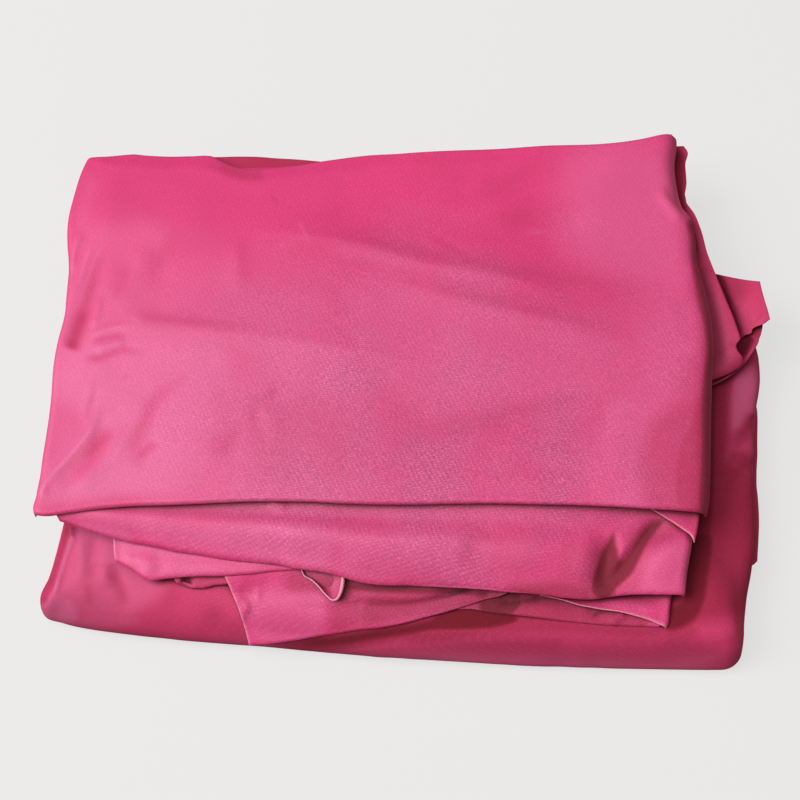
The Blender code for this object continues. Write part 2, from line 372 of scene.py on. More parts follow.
def packet(name, outline, inner, profiles, centre, rings=64, around=1000, top_steps=46,
           folds=(), grooves=(), crumple=((0.35, 30.0), (0.12, 10.0)), seed=1, floor=None, painted_shade=(), pale=()):
    """A closed, plump body of folded plies. profiles holds (profile, share, grooved): the profile is (inset, height)
    from the underside up to the top, and share(ring, inward) is where it holds."""
    ring = spline(outline, 10, closed=True)
    step = np.linalg.norm(np.diff(np.vstack([ring, ring[:1]]), axis=0), axis=1)
    s = np.concatenate([[0.0], np.cumsum(step)])
    want = np.linspace(0, s[-1], around, endpoint=False)
    ring = np.stack([np.interp(want, s, np.append(ring[:, k], ring[0, k])) for k in (0, 1)], 1)
    x0, x1, y0, y1 = inner
    goal = np.stack([np.clip(ring[:, 0], x0, x1), np.clip(ring[:, 1], y0, y1)], 1)
    inward = goal - ring
    inward /= np.linalg.norm(inward, axis=1, keepdims=True)
    shares = np.array([share(ring, inward) for _, share, _ in profiles])
    shares = shares / shares.sum(0)

    def resampled(profile):
        line = spline(profile, 10)
        d = np.concatenate([[0], np.cumsum(np.linalg.norm(np.diff(line, axis=0), axis=1))])
        t = np.linspace(0, d[-1], rings)
        return np.stack([np.interp(t, d, line[:, k]) for k in (0, 1)], 1)

    prof = sum(resampled(item[0])[:, None] * w[None, :, None] for item, w in zip(profiles, shares))
    share = sum(w * (not item[2]) for item, w in zip(profiles, shares))
    g = np.zeros((rings, around, 3))
    g[..., :2] = ring[None] + inward[None] * prof[..., :1]
    g[..., 2] = prof[..., 1]
    cx, cy = centre
    inner_ring = g[-1]
    top = []
    for k in range(1, top_steps):
        t = k / top_steps
        r = inner_ring.copy()
        r[:, 0] += (cx - r[:, 0]) * t
        r[:, 1] += (cy - r[:, 1]) * t
        top.append(r)
    low = []
    for k in range(9, 0, -1):
        t = k / 10
        r = g[0].copy()
        r[:, 0] += (cx - r[:, 0]) * t
        r[:, 1] += (cy - r[:, 1]) * t
        low.append(r)
    g = np.concatenate([np.array(low), g, np.array(top)])
    du = np.roll(g, -1, 1) - np.roll(g, 1, 1)
    dv = np.gradient(g, axis=0)
    n = np.cross(du, dv)
    n /= np.maximum(np.linalg.norm(n, axis=-1, keepdims=True), 1e-9)
    pts, nrm = g.reshape(-1, 3), n.reshape(-1, 3)
    move = strokes(pts, nrm, folds)
    upright = 1 - np.abs(nrm[:, 2]) ** 2
    weight = (1 - np.tile(share, len(g))) * smooth(upright, 0.15, 0.7)
    along = np.stack([pts[:, 0], pts[:, 1], np.zeros(len(pts))], 1)
    for k, (level, depth, wide) in enumerate(grooves):
        z = level + 1.5 * noise(along, 70.0, seed * 11 + k) + 0.6 * noise(along, 22.0, seed * 13 + k)
        cut = depth * (0.75 + 0.5 * noise(along, 45.0, seed * 17 + k))
        move -= weight * cut * np.exp(-np.abs(pts[:, 2] - z) / wide)
    for k, (amount, scale) in enumerate(crumple):
        move += amount * noise(pts, scale, seed * 5 + k)
    pts = pts + nrm * move[:, None]
    if floor is not None:
        pts[:, 2] = np.maximum(pts[:, 2], floor)
        under = nrm[:, 2] < -0.9
        pts[under, 2] = floor
    # the painted shade mask and the painted highlight mask
    inner = np.concatenate([painted_shade_and_highlight(pts, nrm, painted_shade), [0, 0]])
    light = np.concatenate([painted_shade_and_highlight(pts, nrm, pale), [0, 0]])
    quads = grid_quads(g.shape[0], around, closed=True)
    base = len(pts)
    pts = np.vstack([pts, [cx, cy, pts[:around, 2].mean()], [cx, cy, pts[-around:, 2].mean()]])
    faces = quads.tolist()
    last = base - around
    for i in range(around):
        k = (i + 1) % around
        faces.append([base, k, i])
        faces.append([base + 1, last + i, last + k])
    mesh = bpy.data.meshes.new(name)
    mesh.from_pydata((pts * MM).tolist(), [], faces)
    mesh.validate()
    layer = mesh.attributes.new("rim", "FLOAT", "POINT")
    layer.data.foreach_set("value", np.zeros(len(pts), np.float32))
    for title, amount in (("painted_shade", inner), ("pale", light)):
        layer = mesh.attributes.new(title, "FLOAT", "POINT")
        layer.data.foreach_set("value", amount.astype(np.float32))
    mesh.shade_smooth()
    obj = bpy.data.objects.new(name, mesh)
    bpy.context.scene.collection.objects.link(obj)
    return obj, pts


# ------------------------------------------------------------------ material
def tricot(name, colour, pale, rib=1.0, gloss=0.62, rough=(0.50, 0.62)):
    """Knitted nylon: fine slanting ribs and stitches, soft colour drift, a paler stitch tint that is partly painted
    sheen, paler cut edges, and painted shade and painted highlight in its colour.
    """
    m = bpy.data.materials.new(name)
    m.use_nodes = True
    nt = m.node_tree
    shader = nt.nodes["Principled BSDF"]
    new, link = nt.nodes.new, nt.links.new

    def math_node(op, a=None, b=None):
        node = new("ShaderNodeMath")
        node.operation = op
        for k, x in enumerate((a, b)):
            if x is None:
                continue
            if isinstance(x, (int, float)):
                node.inputs[k].default_value = x
            else:
                link(x, node.inputs[k])
        return node.outputs[0]

    where = new("ShaderNodeTexCoord").outputs["Object"]

    def lumps(scale, detail=2.0, source=where):
        node = new("ShaderNodeTexNoise")
        node.inputs["Scale"].default_value = scale
        node.inputs["Detail"].default_value = detail
        link(source, node.inputs["Vector"])
        return node.outputs["Fac"]

    def ribs(waves, wobble):
        """Even ribs; waves is how many there are to a metre along each axis."""
        along = new("ShaderNodeVectorMath")
        along.operation = "DOT_PRODUCT"
        link(where, along.inputs[0])
        along.inputs[1].default_value = [2 * math.pi * w for w in waves]
        bent = math_node("ADD", along.outputs["Value"], wobble)
        return math_node("SINE", bent)

    def between(value, low, high, to_low=0.0, to_high=1.0):
        node = new("ShaderNodeMapRange")
        link(value, node.inputs["Value"])
        node.inputs["From Min"].default_value, node.inputs["From Max"].default_value = low, high
        node.inputs["To Min"].default_value, node.inputs["To Max"].default_value = to_low, to_high
        return node.outputs["Result"]

    def mixed(a, b, factor, blend="MIX"):
        node = new("ShaderNodeMix")
        node.data_type = "RGBA"
        node.blend_type = blend
        for x, name in ((a, "A"), (b, "B"), (factor, "Factor")):
            if isinstance(x, (tuple, float)):
                node.inputs[name].default_value = x
            else:
                link(x, node.inputs[name])
        return node.outputs["Result"]

    # wales run on one slant and courses across them, both a little uneven
    drift1, drift2 = lumps(95, 2.0), lumps(420, 1.0)
    wobble = math_node("ADD", math_node("MULTIPLY", drift1, 7.0), math_node("MULTIPLY", drift2, 3.0))
    wale = ribs((385.3, 185.6, 260.0), wobble)
    course = ribs((-115.3, 743.1, -520.0), math_node("MULTIPLY", wobble, 0.8))
    loops = lumps(740, 1.0)
    fuzz = lumps(1300, 0.0)
    patchy = lumps(22, 2.0)
    broad = lumps(6, 1.0)
    # the stitches, and the painted sheen of their lit tops and shaded gaps, are strongest around a fixed point near
    # the front middle of the pack and fade away from it
    place = new("ShaderNodeVectorMath")
    place.operation = "MULTIPLY"
    link(where, place.inputs[0])
    place.inputs[1].default_value = (1 / 0.19, 1 / 0.145, 0.0)
    far = new("ShaderNodeVectorMath")
    far.operation = "DISTANCE"
    link(place.outputs["Vector"], far.inputs[0])
    far.inputs[1].default_value = (0.02 / 0.19, -0.035 / 0.145, 0.0)
    shows = math_node("MULTIPLY", between(far.outputs["Value"], 0.15, 1.15, 1.0, 0.30), between(patchy, 0.35, 0.65, 0.65, 1.1))
    knit = math_node("ADD", math_node("MULTIPLY", wale, 0.13), math_node("MULTIPLY", math_node("MULTIPLY", course, 0.24), between(loops, 0.3, 0.7, 0.3, 1.0)))
    knit = math_node("ADD", knit, math_node("MULTIPLY", math_node("SUBTRACT", loops, 0.5), 1.0))
    knit = math_node("ADD", knit, math_node("MULTIPLY", math_node("SUBTRACT", fuzz, 0.5), 1.2))
    drift = math_node("ADD", math_node("MULTIPLY", math_node("SUBTRACT", broad, 0.5), 0.26),
                      math_node("MULTIPLY", math_node("SUBTRACT", patchy, 0.5), 0.16))
    grain = math_node("MULTIPLY", knit, shows)
    value = math_node("ADD", math_node("ADD", 1.0, drift), math_node("MULTIPLY", grain, 0.62 * rib))

    rim = new("ShaderNodeAttribute")
    rim.attribute_name = "rim"
    # these two attributes carry painted shade and painted highlight
    fold = new("ShaderNodeAttribute")
    fold.attribute_name = "painted_shade"
    painted_highlight = new("ShaderNodeAttribute")
    painted_highlight.attribute_name = "pale"
    # painted sheen and shade: where the stitches show, the light on their tops and the shade in their gaps are painted
    # as a paler, dustier tint
    painted_stitch_sheen = (0.80 * colour[0], 1.78 * colour[1], 1.14 * colour[2], 1)
    tint = mixed((*colour, 1), painted_stitch_sheen, between(shows, 0.35, 0.95, 0.0, min(1.0, rib)))
    # painted highlight: the pale attribute lightens the colour towards a pale pink, except where painted shade lies
    tint = mixed(tint, (0.86, 0.215, 0.46, 1), math_node("MULTIPLY", painted_highlight.outputs["Fac"], between(fold.outputs["Fac"], 0.0, 0.4, 1.0, 0.0)))
    tint = mixed(tint, (*pale, 1), math_node("MULTIPLY", rim.outputs["Fac"], 0.8))
    # the tops of the stitches catch more light and less colour than the gaps between them
    tint = mixed(tint, (*pale, 1), between(grain, 0.0, 1.0, 0.0, 0.24))
    shade = new("ShaderNodeVectorMath")
    shade.operation = "SCALE"
    link(tint, shade.inputs[0])
    link(value, shade.inputs["Scale"])
    # painted shade: folds, gaps and the parts under and between plies are darkened and reddened in the base colour,
    # from the occlusion node and from the painted shade attribute, in place of shade and of light passed from cloth to
    # cloth; rims and painted highlight are kept out of it
    near = new("ShaderNodeAmbientOcclusion")
    near.samples = 6
    near.inputs["Distance"].default_value = 0.045
    open_air = math_node("POWER", between(near.outputs["AO"], 0.44, 0.82), 1.1)
    open_air = math_node("MAXIMUM", open_air, math_node("MULTIPLY", rim.outputs["Fac"], 0.9))
    open_air = math_node("MAXIMUM", open_air, between(painted_highlight.outputs["Fac"], 0.0, 0.25, 0.0, 1.0))
    painted_occlusion_shade = mixed((0.25, 0.115, 0.085, 1), (1.0, 1.0, 1.0, 1), open_air)
    painted_crease_shade = mixed((1.0, 1.0, 1.0, 1), (0.40, 0.135, 0.13, 1), fold.outputs["Fac"])
    folded = mixed(mixed(shade.outputs["Vector"], painted_occlusion_shade, 1.0, "MULTIPLY"), painted_crease_shade, 1.0, "MULTIPLY")
    # painted shadow: where the painted shade is strongest the colour goes almost to black-red
    folded = mixed(folded, (0.10, 0.010, 0.018, 1), between(fold.outputs["Fac"], 0.62, 1.0, 0.0, 0.55))
    link(folded, shader.inputs["Base Color"])

    matt = math_node("ADD", between(patchy, 0.0, 1.0, *rough), math_node("MULTIPLY", fold.outputs["Fac"], 0.35))
    link(matt, shader.inputs["Roughness"])
    shader.inputs["Metallic"].default_value = 0.0
    shader.inputs["IOR"].default_value = 1.55
    shader.inputs["Specular Tint"].default_value = (1.0, 0.82, 0.95, 1.0)
    shader.inputs["Specular IOR Level"].default_value = gloss
    shader.inputs["Sheen Weight"].default_value = 0.03 if rib < 0.5 else 0.07
    shader.inputs["Sheen Roughness"].default_value = 0.45
    shader.inputs["Sheen Tint"].default_value = (1.0, 0.45, 0.62, 1.0)

    bump = new("ShaderNodeBump")
    bump.inputs["Strength"].default_value = 0.5
    bump.inputs["Distance"].default_value = 0.00012 * rib
    link(math_node("MULTIPLY", knit, between(far.outputs["Value"], 0.15, 1.3, 1.0, 0.45)), bump.inputs["Height"])
    link(bump.outputs["Normal"], shader.inputs["Normal"])
    return m


PINK = (0.75, 0.042, 0.200)
PALE = (0.93, 0.30, 0.46)
cloth = tricot("tricot_cloth", PINK, PALE)
# painted shade: a darker copy of the cloth for the core, the panel's underside and the hinge fold
cloth_shade = tricot("tricot_inner_shaded", (0.70, 0.034, 0.150), PALE)
# painted shade: a darker copy of the cloth, with less gloss and weaker stitches, for the base packet and the side
# plies
cloth_low_shaded = tricot("tricot_low_shaded", (0.63, 0.042, 0.150), PALE, 0.35, 0.35, (0.62, 0.74))
selvedge = tricot("tricot_selvedge", (0.86, 0.26, 0.42), (0.95, 0.5, 0.62), 0.8)


def dress(obj, material):
    obj.data.materials.append(material)
    return obj


# --------------------------------------------------------------- base packet
BASE = [
    (-197, 0), (-197, -40), (-200.4, -78), (-202.6, -97), (-205.8, -114),
    (-210, -125.5), (-207, -131.5), (-199, -134), (-190, -136.4), (-160, -141), (-108, -146),
    (-69, -149), (-8, -154), (69, -158), (131, -160), (165, -160.4), (174, -159.4), (179.5, -155), (182, -147),
    (183.3, -138), (186.2, -123), (189.8, -108), (192.6, -96), (194.8, -80), (196.4, -60),
    (197.4, -50), (200.8, -25), (204.4, -5), (206.6, 3), (208.6, 13), (209.2, 28), (206, 46),
    (198, 62), (184, 76), (177, 95), (175, 125), (173, 148),
    (165, 154), (100, 155), (0, 152), (-100, 150), (-180, 150),
    (-195, 144), (-199, 120), (-199, 60),
]
BASE_SIDE = [(16, 0), (10, 0), (6, 0.6), (3, 2.2), (1, 4.6), (0, 8), (0, 13), (0.4, 18), (1.2, 23),
             (3.2, 27.5), (6, 31), (10, 33), (17, 34.3), (30, 34.9)]
BASE_RIGHT = [(16, 0), (10, 0), (5.5, 0.5), (2.4, 2.2), (0.6, 5), (0, 8), (0, 12), (0.5, 17), (1.6, 21),
              (3.8, 24.4), (7.5, 26.8), (13, 28.6), (20, 30.4), (28, 32.4), (38, 34.2), (50, 35)]
BASE_SLOPE = [(16, 0), (9.5, 0), (5.5, 0.7), (2.4, 2.6), (0.6, 5.2), (0, 8.5), (0.3, 12.5), (2.0, 17.5), (5.6, 23),
              (10.5, 28), (15.5, 31.2), (21.5, 33.2), (30, 34.4), (42, 34.9)]
BASE_WALL = [(14, 0), (8, 0), (4.4, 0.5), (1.6, 2.2), (0.2, 5), (0.2, 8), (1.6, 12.5), (3.6, 18), (5.7, 23.5),
             (8.0, 28.5), (10.6, 32), (14.5, 34), (22, 34.8), (40, 34.9)]


def is_front(ring, inward):
    return smooth(inward[:, 1], 0.3, 0.9)


def is_right(ring, inward):
    return smooth(-inward[:, 0], 0.2, 0.8) * smooth(-ring[:, 1], -70, -20)


base, base_pts = packet(
    "base_cloth", BASE, (-150, 140, -92, 95),
    [(BASE_SIDE, lambda r, i: np.clip(1 - is_front(r, i) - is_right(r, i), 0, 1) * smooth(r[:, 1], -118, -80), True),
     (BASE_SIDE, lambda r, i: np.clip(1 - is_front(r, i) - is_right(r, i), 0, 1) * (1 - smooth(r[:, 1], -118, -80)), False),
     (BASE_SLOPE, lambda r, i: is_front(r, i) * (1 - smooth(r[:, 0], -20, 40)), False),
     (BASE_WALL, lambda r, i: is_front(r, i) * smooth(r[:, 0], -20, 40), False),
     (BASE_RIGHT, is_right, False)],
    (-5, 0), rings=72, around=1150,
    grooves=((4.2, 1.6, 0.8), (8.6, 2.4, 1.0), (12.7, 1.4, 0.7), (16.8, 2.4, 1.0), (20.6, 1.4, 0.7),
             (25.2, 2.4, 1.0), (29.2, 1.4, 0.7), (32.6, 1.8, 0.8)),
    folds=[
        ("r", 1.0, 6, [(82, 528), (81, 560), (78, 592)]),
        ("r", 1.0, 5, [(103, 536), (104, 565), (107, 592)]),
        ("r", -0.8, 5, [(92, 530), (94, 555), (94, 580)]),
        ("r", -0.8, 6, [(113, 560), (121, 590), (129, 618)]),
        ("c", -1.5, 3.0, [(72, 526), (65, 548), (59, 567), (52, 590), (46, 606)], 0.05, 0.35),
        ("r", -1.2, 9, [(160, 590), (200, 610), (240, 622)]),
        ("r", 0.9, 12, [(150, 575), (190, 600), (215, 630)]),
        ("r", -1.4, 6, [(756, 414), (747, 430), (736, 446), (729, 455)], 0.1, 0.4),
        ("r", -1.4, 6, [(755, 457), (744, 472), (734, 486), (726, 502)], 0.2, 0.4),
        ("r", 1.0, 7, [(754, 438), (744, 452), (732, 470)], 0.3, 0.4),
        ("r", 0.9, 10, [(300, 652), (420, 645), (560, 650), (690, 655)]),
    ],
    # painted shade beside and under the upper plies on the right top, along the foot of the front corner flap, under
    # the low fold, along the front's foot, and in small creases at the left front
    painted_shade=[(0.60, 12, [(664, 604), (690, 545), (710, 462), (752, 470), (757, 560), (750, 600), (738, 616), (700, 622), (664, 632)]),
          (0.50, 6, [(726, 455), (746, 452), (754, 480), (752, 530), (728, 530)]),
          (0.92, 8, [(684, 536), (712, 532), (711, 580), (706, 606), (694, 624), (668, 633), (656, 612), (680, 598)]),
          (0.74, 7, [(702, 385), (720, 374), (719, 400), (716, 520), (708, 548), (690, 548)]),
          (0.56, 8, [(706, 385), (725, 372), (728, 400), (724, 520), (718, 560), (698, 560)]),
          ("r", 0.42, 4.5, [(757, 413), (747, 430), (737, 445), (729, 455)], 0.1, 0.5),
          ("r", 0.40, 5, [(756, 456), (744, 472), (735, 485), (727, 500)], 0.1, 0.5),
          (0.34, 2.5, [(70, 520), (65.5, 545), (58.5, 567.5), (51, 590), (45.5, 602), (36, 602), (42, 580), (50, 555), (56, 535), (58, 518)]),
          ("r", 0.95, 6.5, [(262, 650), (300, 644), (340, 640.5), (375, 634.5), (410, 629), (440, 622), (470, 615), (500, 612)], 0.25, 0.1),
          (0.95, 5, [(430, 618), (452, 606), (500, 606), (520, 620), (500, 628), (470, 631), (430, 632), (400, 636)]),
          (0.52, 8, [(400, 640), (430, 620), (500, 612), (560, 618), (640, 624), (664, 627), (664, 636), (560, 634), (480, 637), (420, 645)]),
          (0.25, 9, [(330, 652), (400, 645), (470, 640), (560, 640), (560, 646), (470, 648), (400, 654), (330, 656)]),
          ("r", 0.45, 8, [(655, 630), (680, 634), (706, 626)], 0.3, 0.3),
          ("r", 0.3, 5, [(352, 642), (385, 637), (425, 630)], 0.3, 0.3),
          ("r", 0.12, 3, [(93, 528), (95, 545), (94, 566)], 0.3, 0.5),
          ("r", 0.20, 4, [(110, 566), (121, 590), (130, 614)], 0.3, 0.5),
          ("r", 0.18, 3, [(86, 580), (89, 596), (92, 610)], 0.3, 0.5),
          ("r", 0.26, 8, [(196, 612), (225, 625), (246, 640)], 0.4, 0.4)],
    # painted highlight on the left front's fold ridges and corner, along the front's foot, and on the right top
    pale=[("r", 0.36, 6, [(82, 528), (81, 560), (78, 594)], 0.3, 0.4), ("r", 0.25, 5, [(103, 538), (104, 562), (107, 590)], 0.4, 0.5),
          (0.22, 12, [(74, 528), (108, 534), (130, 556), (160, 588), (140, 612), (100, 618), (56, 606)]),
          ("r", 0.6, 1.6, [(73.5, 533), (66, 557), (59, 580), (51, 602)], 0.1, 0.2),
          (0.20, 8, [(46, 600), (100, 608), (140, 620), (100, 630), (46, 620)]),
          (0.42, 6, [(44, 594), (74, 600), (78, 622), (44, 618)]),
          (0.34, 8, [(76, 522), (120, 528), (126, 560), (84, 562)]),
          ("r", 0.27, 6, [(200, 642), (300, 649), (420, 658), (560, 664), (690, 666), (735, 655)], 0.2, 0.1),
          (0.40, 7, [(736, 378), (752, 366), (758, 380), (756, 408), (742, 428), (730, 430)]),
          (0.06, 9, [(736, 380), (756, 372), (752, 440), (744, 560), (724, 560), (728, 440)])],
    seed=3, floor=0.0)
base_normals = np.array([v.normal[:] for v in base.data.vertices])
base_shell = BVHTree.FromPolygons((base_pts + 0.9 * base_normals).tolist(), [list(f.vertices) for f in base.data.polygons])


def laid(points, shell=base_shell):
    """Picture points (px, py, z) raised, where they would be inside the body, onto its surface."""
    out = []
    for px, py, z in points:
        spot = at(px, py, z)
        hit = shell.ray_cast(Vector(CAM), Vector(spot - CAM).normalized())[0]
        out.append((px, py, max(z, hit[2]) if hit is not None else z))
    return out


dress(base, cloth_low_shaded)
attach(base, "base_packet")
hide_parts("base_leaf_1", "base_leaf_2", "base_leaf_3", "base_leaf_4", "base_leaf_5")

side_edge, _ = ply(
    "base_side_ply",
    edge([(736, 566, 15), (746, 565.5, 14), (754, 564, 13), (757.3, 561, 12.5)]),
    edge([(757.3, 561, 12.5), (758.8, 531, 12.5), (757.8, 498, 12.8), (756.4, 482, 13), (757.4, 440, 13.4), (757.2, 410, 13.6), (755, 402.5, 14)]),
    edge([(736, 398, 18), (747, 400, 16), (755, 402.5, 14)]),
    edge([(736, 566, 15), (736, 480, 17), (736, 398, 18)]),
    rolls={"right": (1.1, 175, 3.0), "front": (0.7, 150, 1.5)}, lift=1.0, pitch=1.0, seed=17, crumple=((0.2, 18.0), (0.1, 7.0)),
    # painted highlight at its top and painted shade along its right part
    pale=[(0.3, 6, [(738, 396), (758, 398), (758, 415), (744, 430)])],
    painted_shade=[(0.3, 4, [(746, 418), (760, 418), (760, 562), (746, 562)])])
dress(side_edge, cloth_low_shaded)
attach(side_edge, "base_packet")

# ------------------------------------------------------- core of the upper packet
CORE = [
    (-199, 30), (-199, -60), (-196, -76), (-185, -81), (-100, -79), (0, -78), (100, -80), (146, -82),
    (152, -74), (156, -40), (158, 0), (160, 40), (158, 90), (157, 130), (161, 150), (159, 157), (150, 158),
    (138, 153), (100, 149), (52, 146), (0, 143), (-58, 141), (-95, 142), (-150, 138), (-188, 138), (-198, 130), (-200, 90),
]
CORE_SIDE = [(14, 36.2), (8, 36.0), (4.5, 36.4), (2, 37.8), (0.6, 40), (0, 43), (0, 47), (0, 51), (0.6, 54),
             (2, 56.8), (4.4, 58.4), (8, 59.0), (14, 59.1)]
core, core_pts = packet(
    "upper_plies", CORE, (-150, 120, -45, 100), [(CORE_SIDE, lambda r, i: np.ones(len(r)), True)], (-5, 30), rings=56, around=950,
    grooves=((38.6, 1.6, 0.7), (42.2, 2.2, 0.9), (45.0, 1.3, 0.6), (47.0, 2.2, 0.9), (51.2, 2.2, 0.9), (54.0, 1.6, 0.7), (56.6, 1.2, 0.6)),
    crumple=((0.3, 30.0), (0.12, 10.0)), seed=9)
dress(core, cloth_shade)
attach(core, "upper_packet")
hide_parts("lower_leaf", "under_panel_leaf", "inner_leaf")

# ----------------------------------------------------------------- top panel
T_FRONT = [(34, 514.5, 57.5), (42, 515.8, 58), (51, 515, 59), (61, 512.8, 60), (96, 507.4, 61.2), (134, 504.6, 61.6), (172, 504, 61.6),
           (220, 501.8, 61.6), (249, 500.7, 61.6), (307, 501, 61.6), (346, 503, 61.6), (403, 504, 61.6), (460, 503.4, 61.6),
           (550, 504.4, 61.6), (601, 505.8, 61.6), (631, 507.3, 61.6), (652, 508.9, 61.5), (677, 510.3, 61), (693, 512.5, 59.5),
           (700, 514, 57), (707, 515.5, 53)]
T_RIGHT = [(707, 515.5), (708.8, 500), (710.5, 450), (711, 403), (711.6, 374), (713, 360), (713, 343), (711.5, 325), (708.9, 310),
           (706, 296), (701, 278), (697, 265), (694, 237), (690, 220), (682, 210), (677, 191), (674, 166), (676.5, 147), (676, 136.5)]
T_BACK = [(88, 165, 55), (91, 160, 56.5), (97, 157, 58.5), (107, 154.6, 60.5), (134, 152.6, 60.8), (145, 154, 60.8), (172, 156, 60.8),
          (191, 156, 60.8), (212, 156, 60.8), (222, 161, 60.4), (239, 168.5, 59.8), (258, 170.5, 59.6), (277, 169, 59.8), (300, 166, 60.4),
          (323, 161.5, 60.8), (365, 155.6, 60.8), (403, 153, 60.8), (432, 151, 60.8), (508, 148, 60.8), (548, 145.2, 60.8),
          (596, 143.6, 60.8), (638, 139.2, 60.6), (663, 134.6, 59.6), (671, 134, 58), (676, 136.5, 55)]
T_LEFT = [(34, 514.5, 57.5), (33.4, 508, 57.5), (38, 493, 57), (43.4, 456, 56), (49.2, 418, 55.5), (51.6, 400, 55), (54.5, 368, 54.5),
          (58.5, 347, 54.5), (66.5, 318, 54.5), (68, 301, 54.5), (70, 268, 54.5), (68.5, 249, 54.5), (69.5, 224, 54.5), (73.5, 207, 54.5),
          (81.5, 180, 54.8), (88, 165, 55)]


def soft(s, w):
    """s where it is positive and 0 where it isn't, with a bend w wide between the two."""
    return w * np.logaddexp(0, s / w)


def panel_height(u, v, x, y):
    """The panel's upper side. It rises from the back, lies level, and falls to the front, each part
    with a bend along a slanting line, and its sides follow the plies beneath."""
    spots = seen(np.stack([x.ravel(), y.ravel(), np.full(x.size, 64.0)], 1))
    px, py = spots[:, 0].reshape(x.shape), spots[:, 1].reshape(x.shape)
    fore = np.interp(px, [60, 132, 173, 220, 300, 365, 430, 520, 640, 700], [316, 319, 324, 330, 342, 350, 362, 385, 400, 400])
    wide = np.interp(px, [60, 120, 360, 480, 620], [14, 4, 5, 16, 26])
    rear = np.interp(px, [60, 150, 235, 307, 365, 420, 494, 537, 580, 630, 700], [205, 212, 225, 238, 248, 262, 273, 284, 297, 312, 330])
    blunt = np.interp(px, [60, 200, 300, 620, 700], [26, 14, 5, 6, 14])
    h = 5.0 - 0.028 * soft(py - fore, wide) - 0.030 * soft(rear - py, blunt)
    edge_in = np.minimum(np.minimum(u / 0.08, (1 - u) / 0.035 + 0.55), np.minimum(v, 1 - v) / 0.06)
    h = h * (0.35 + 0.65 * smooth(edge_in, 0.0, 1.0))
    h = h - 2.2 * (1 - smooth(u, 0.04, 0.22))
    return h


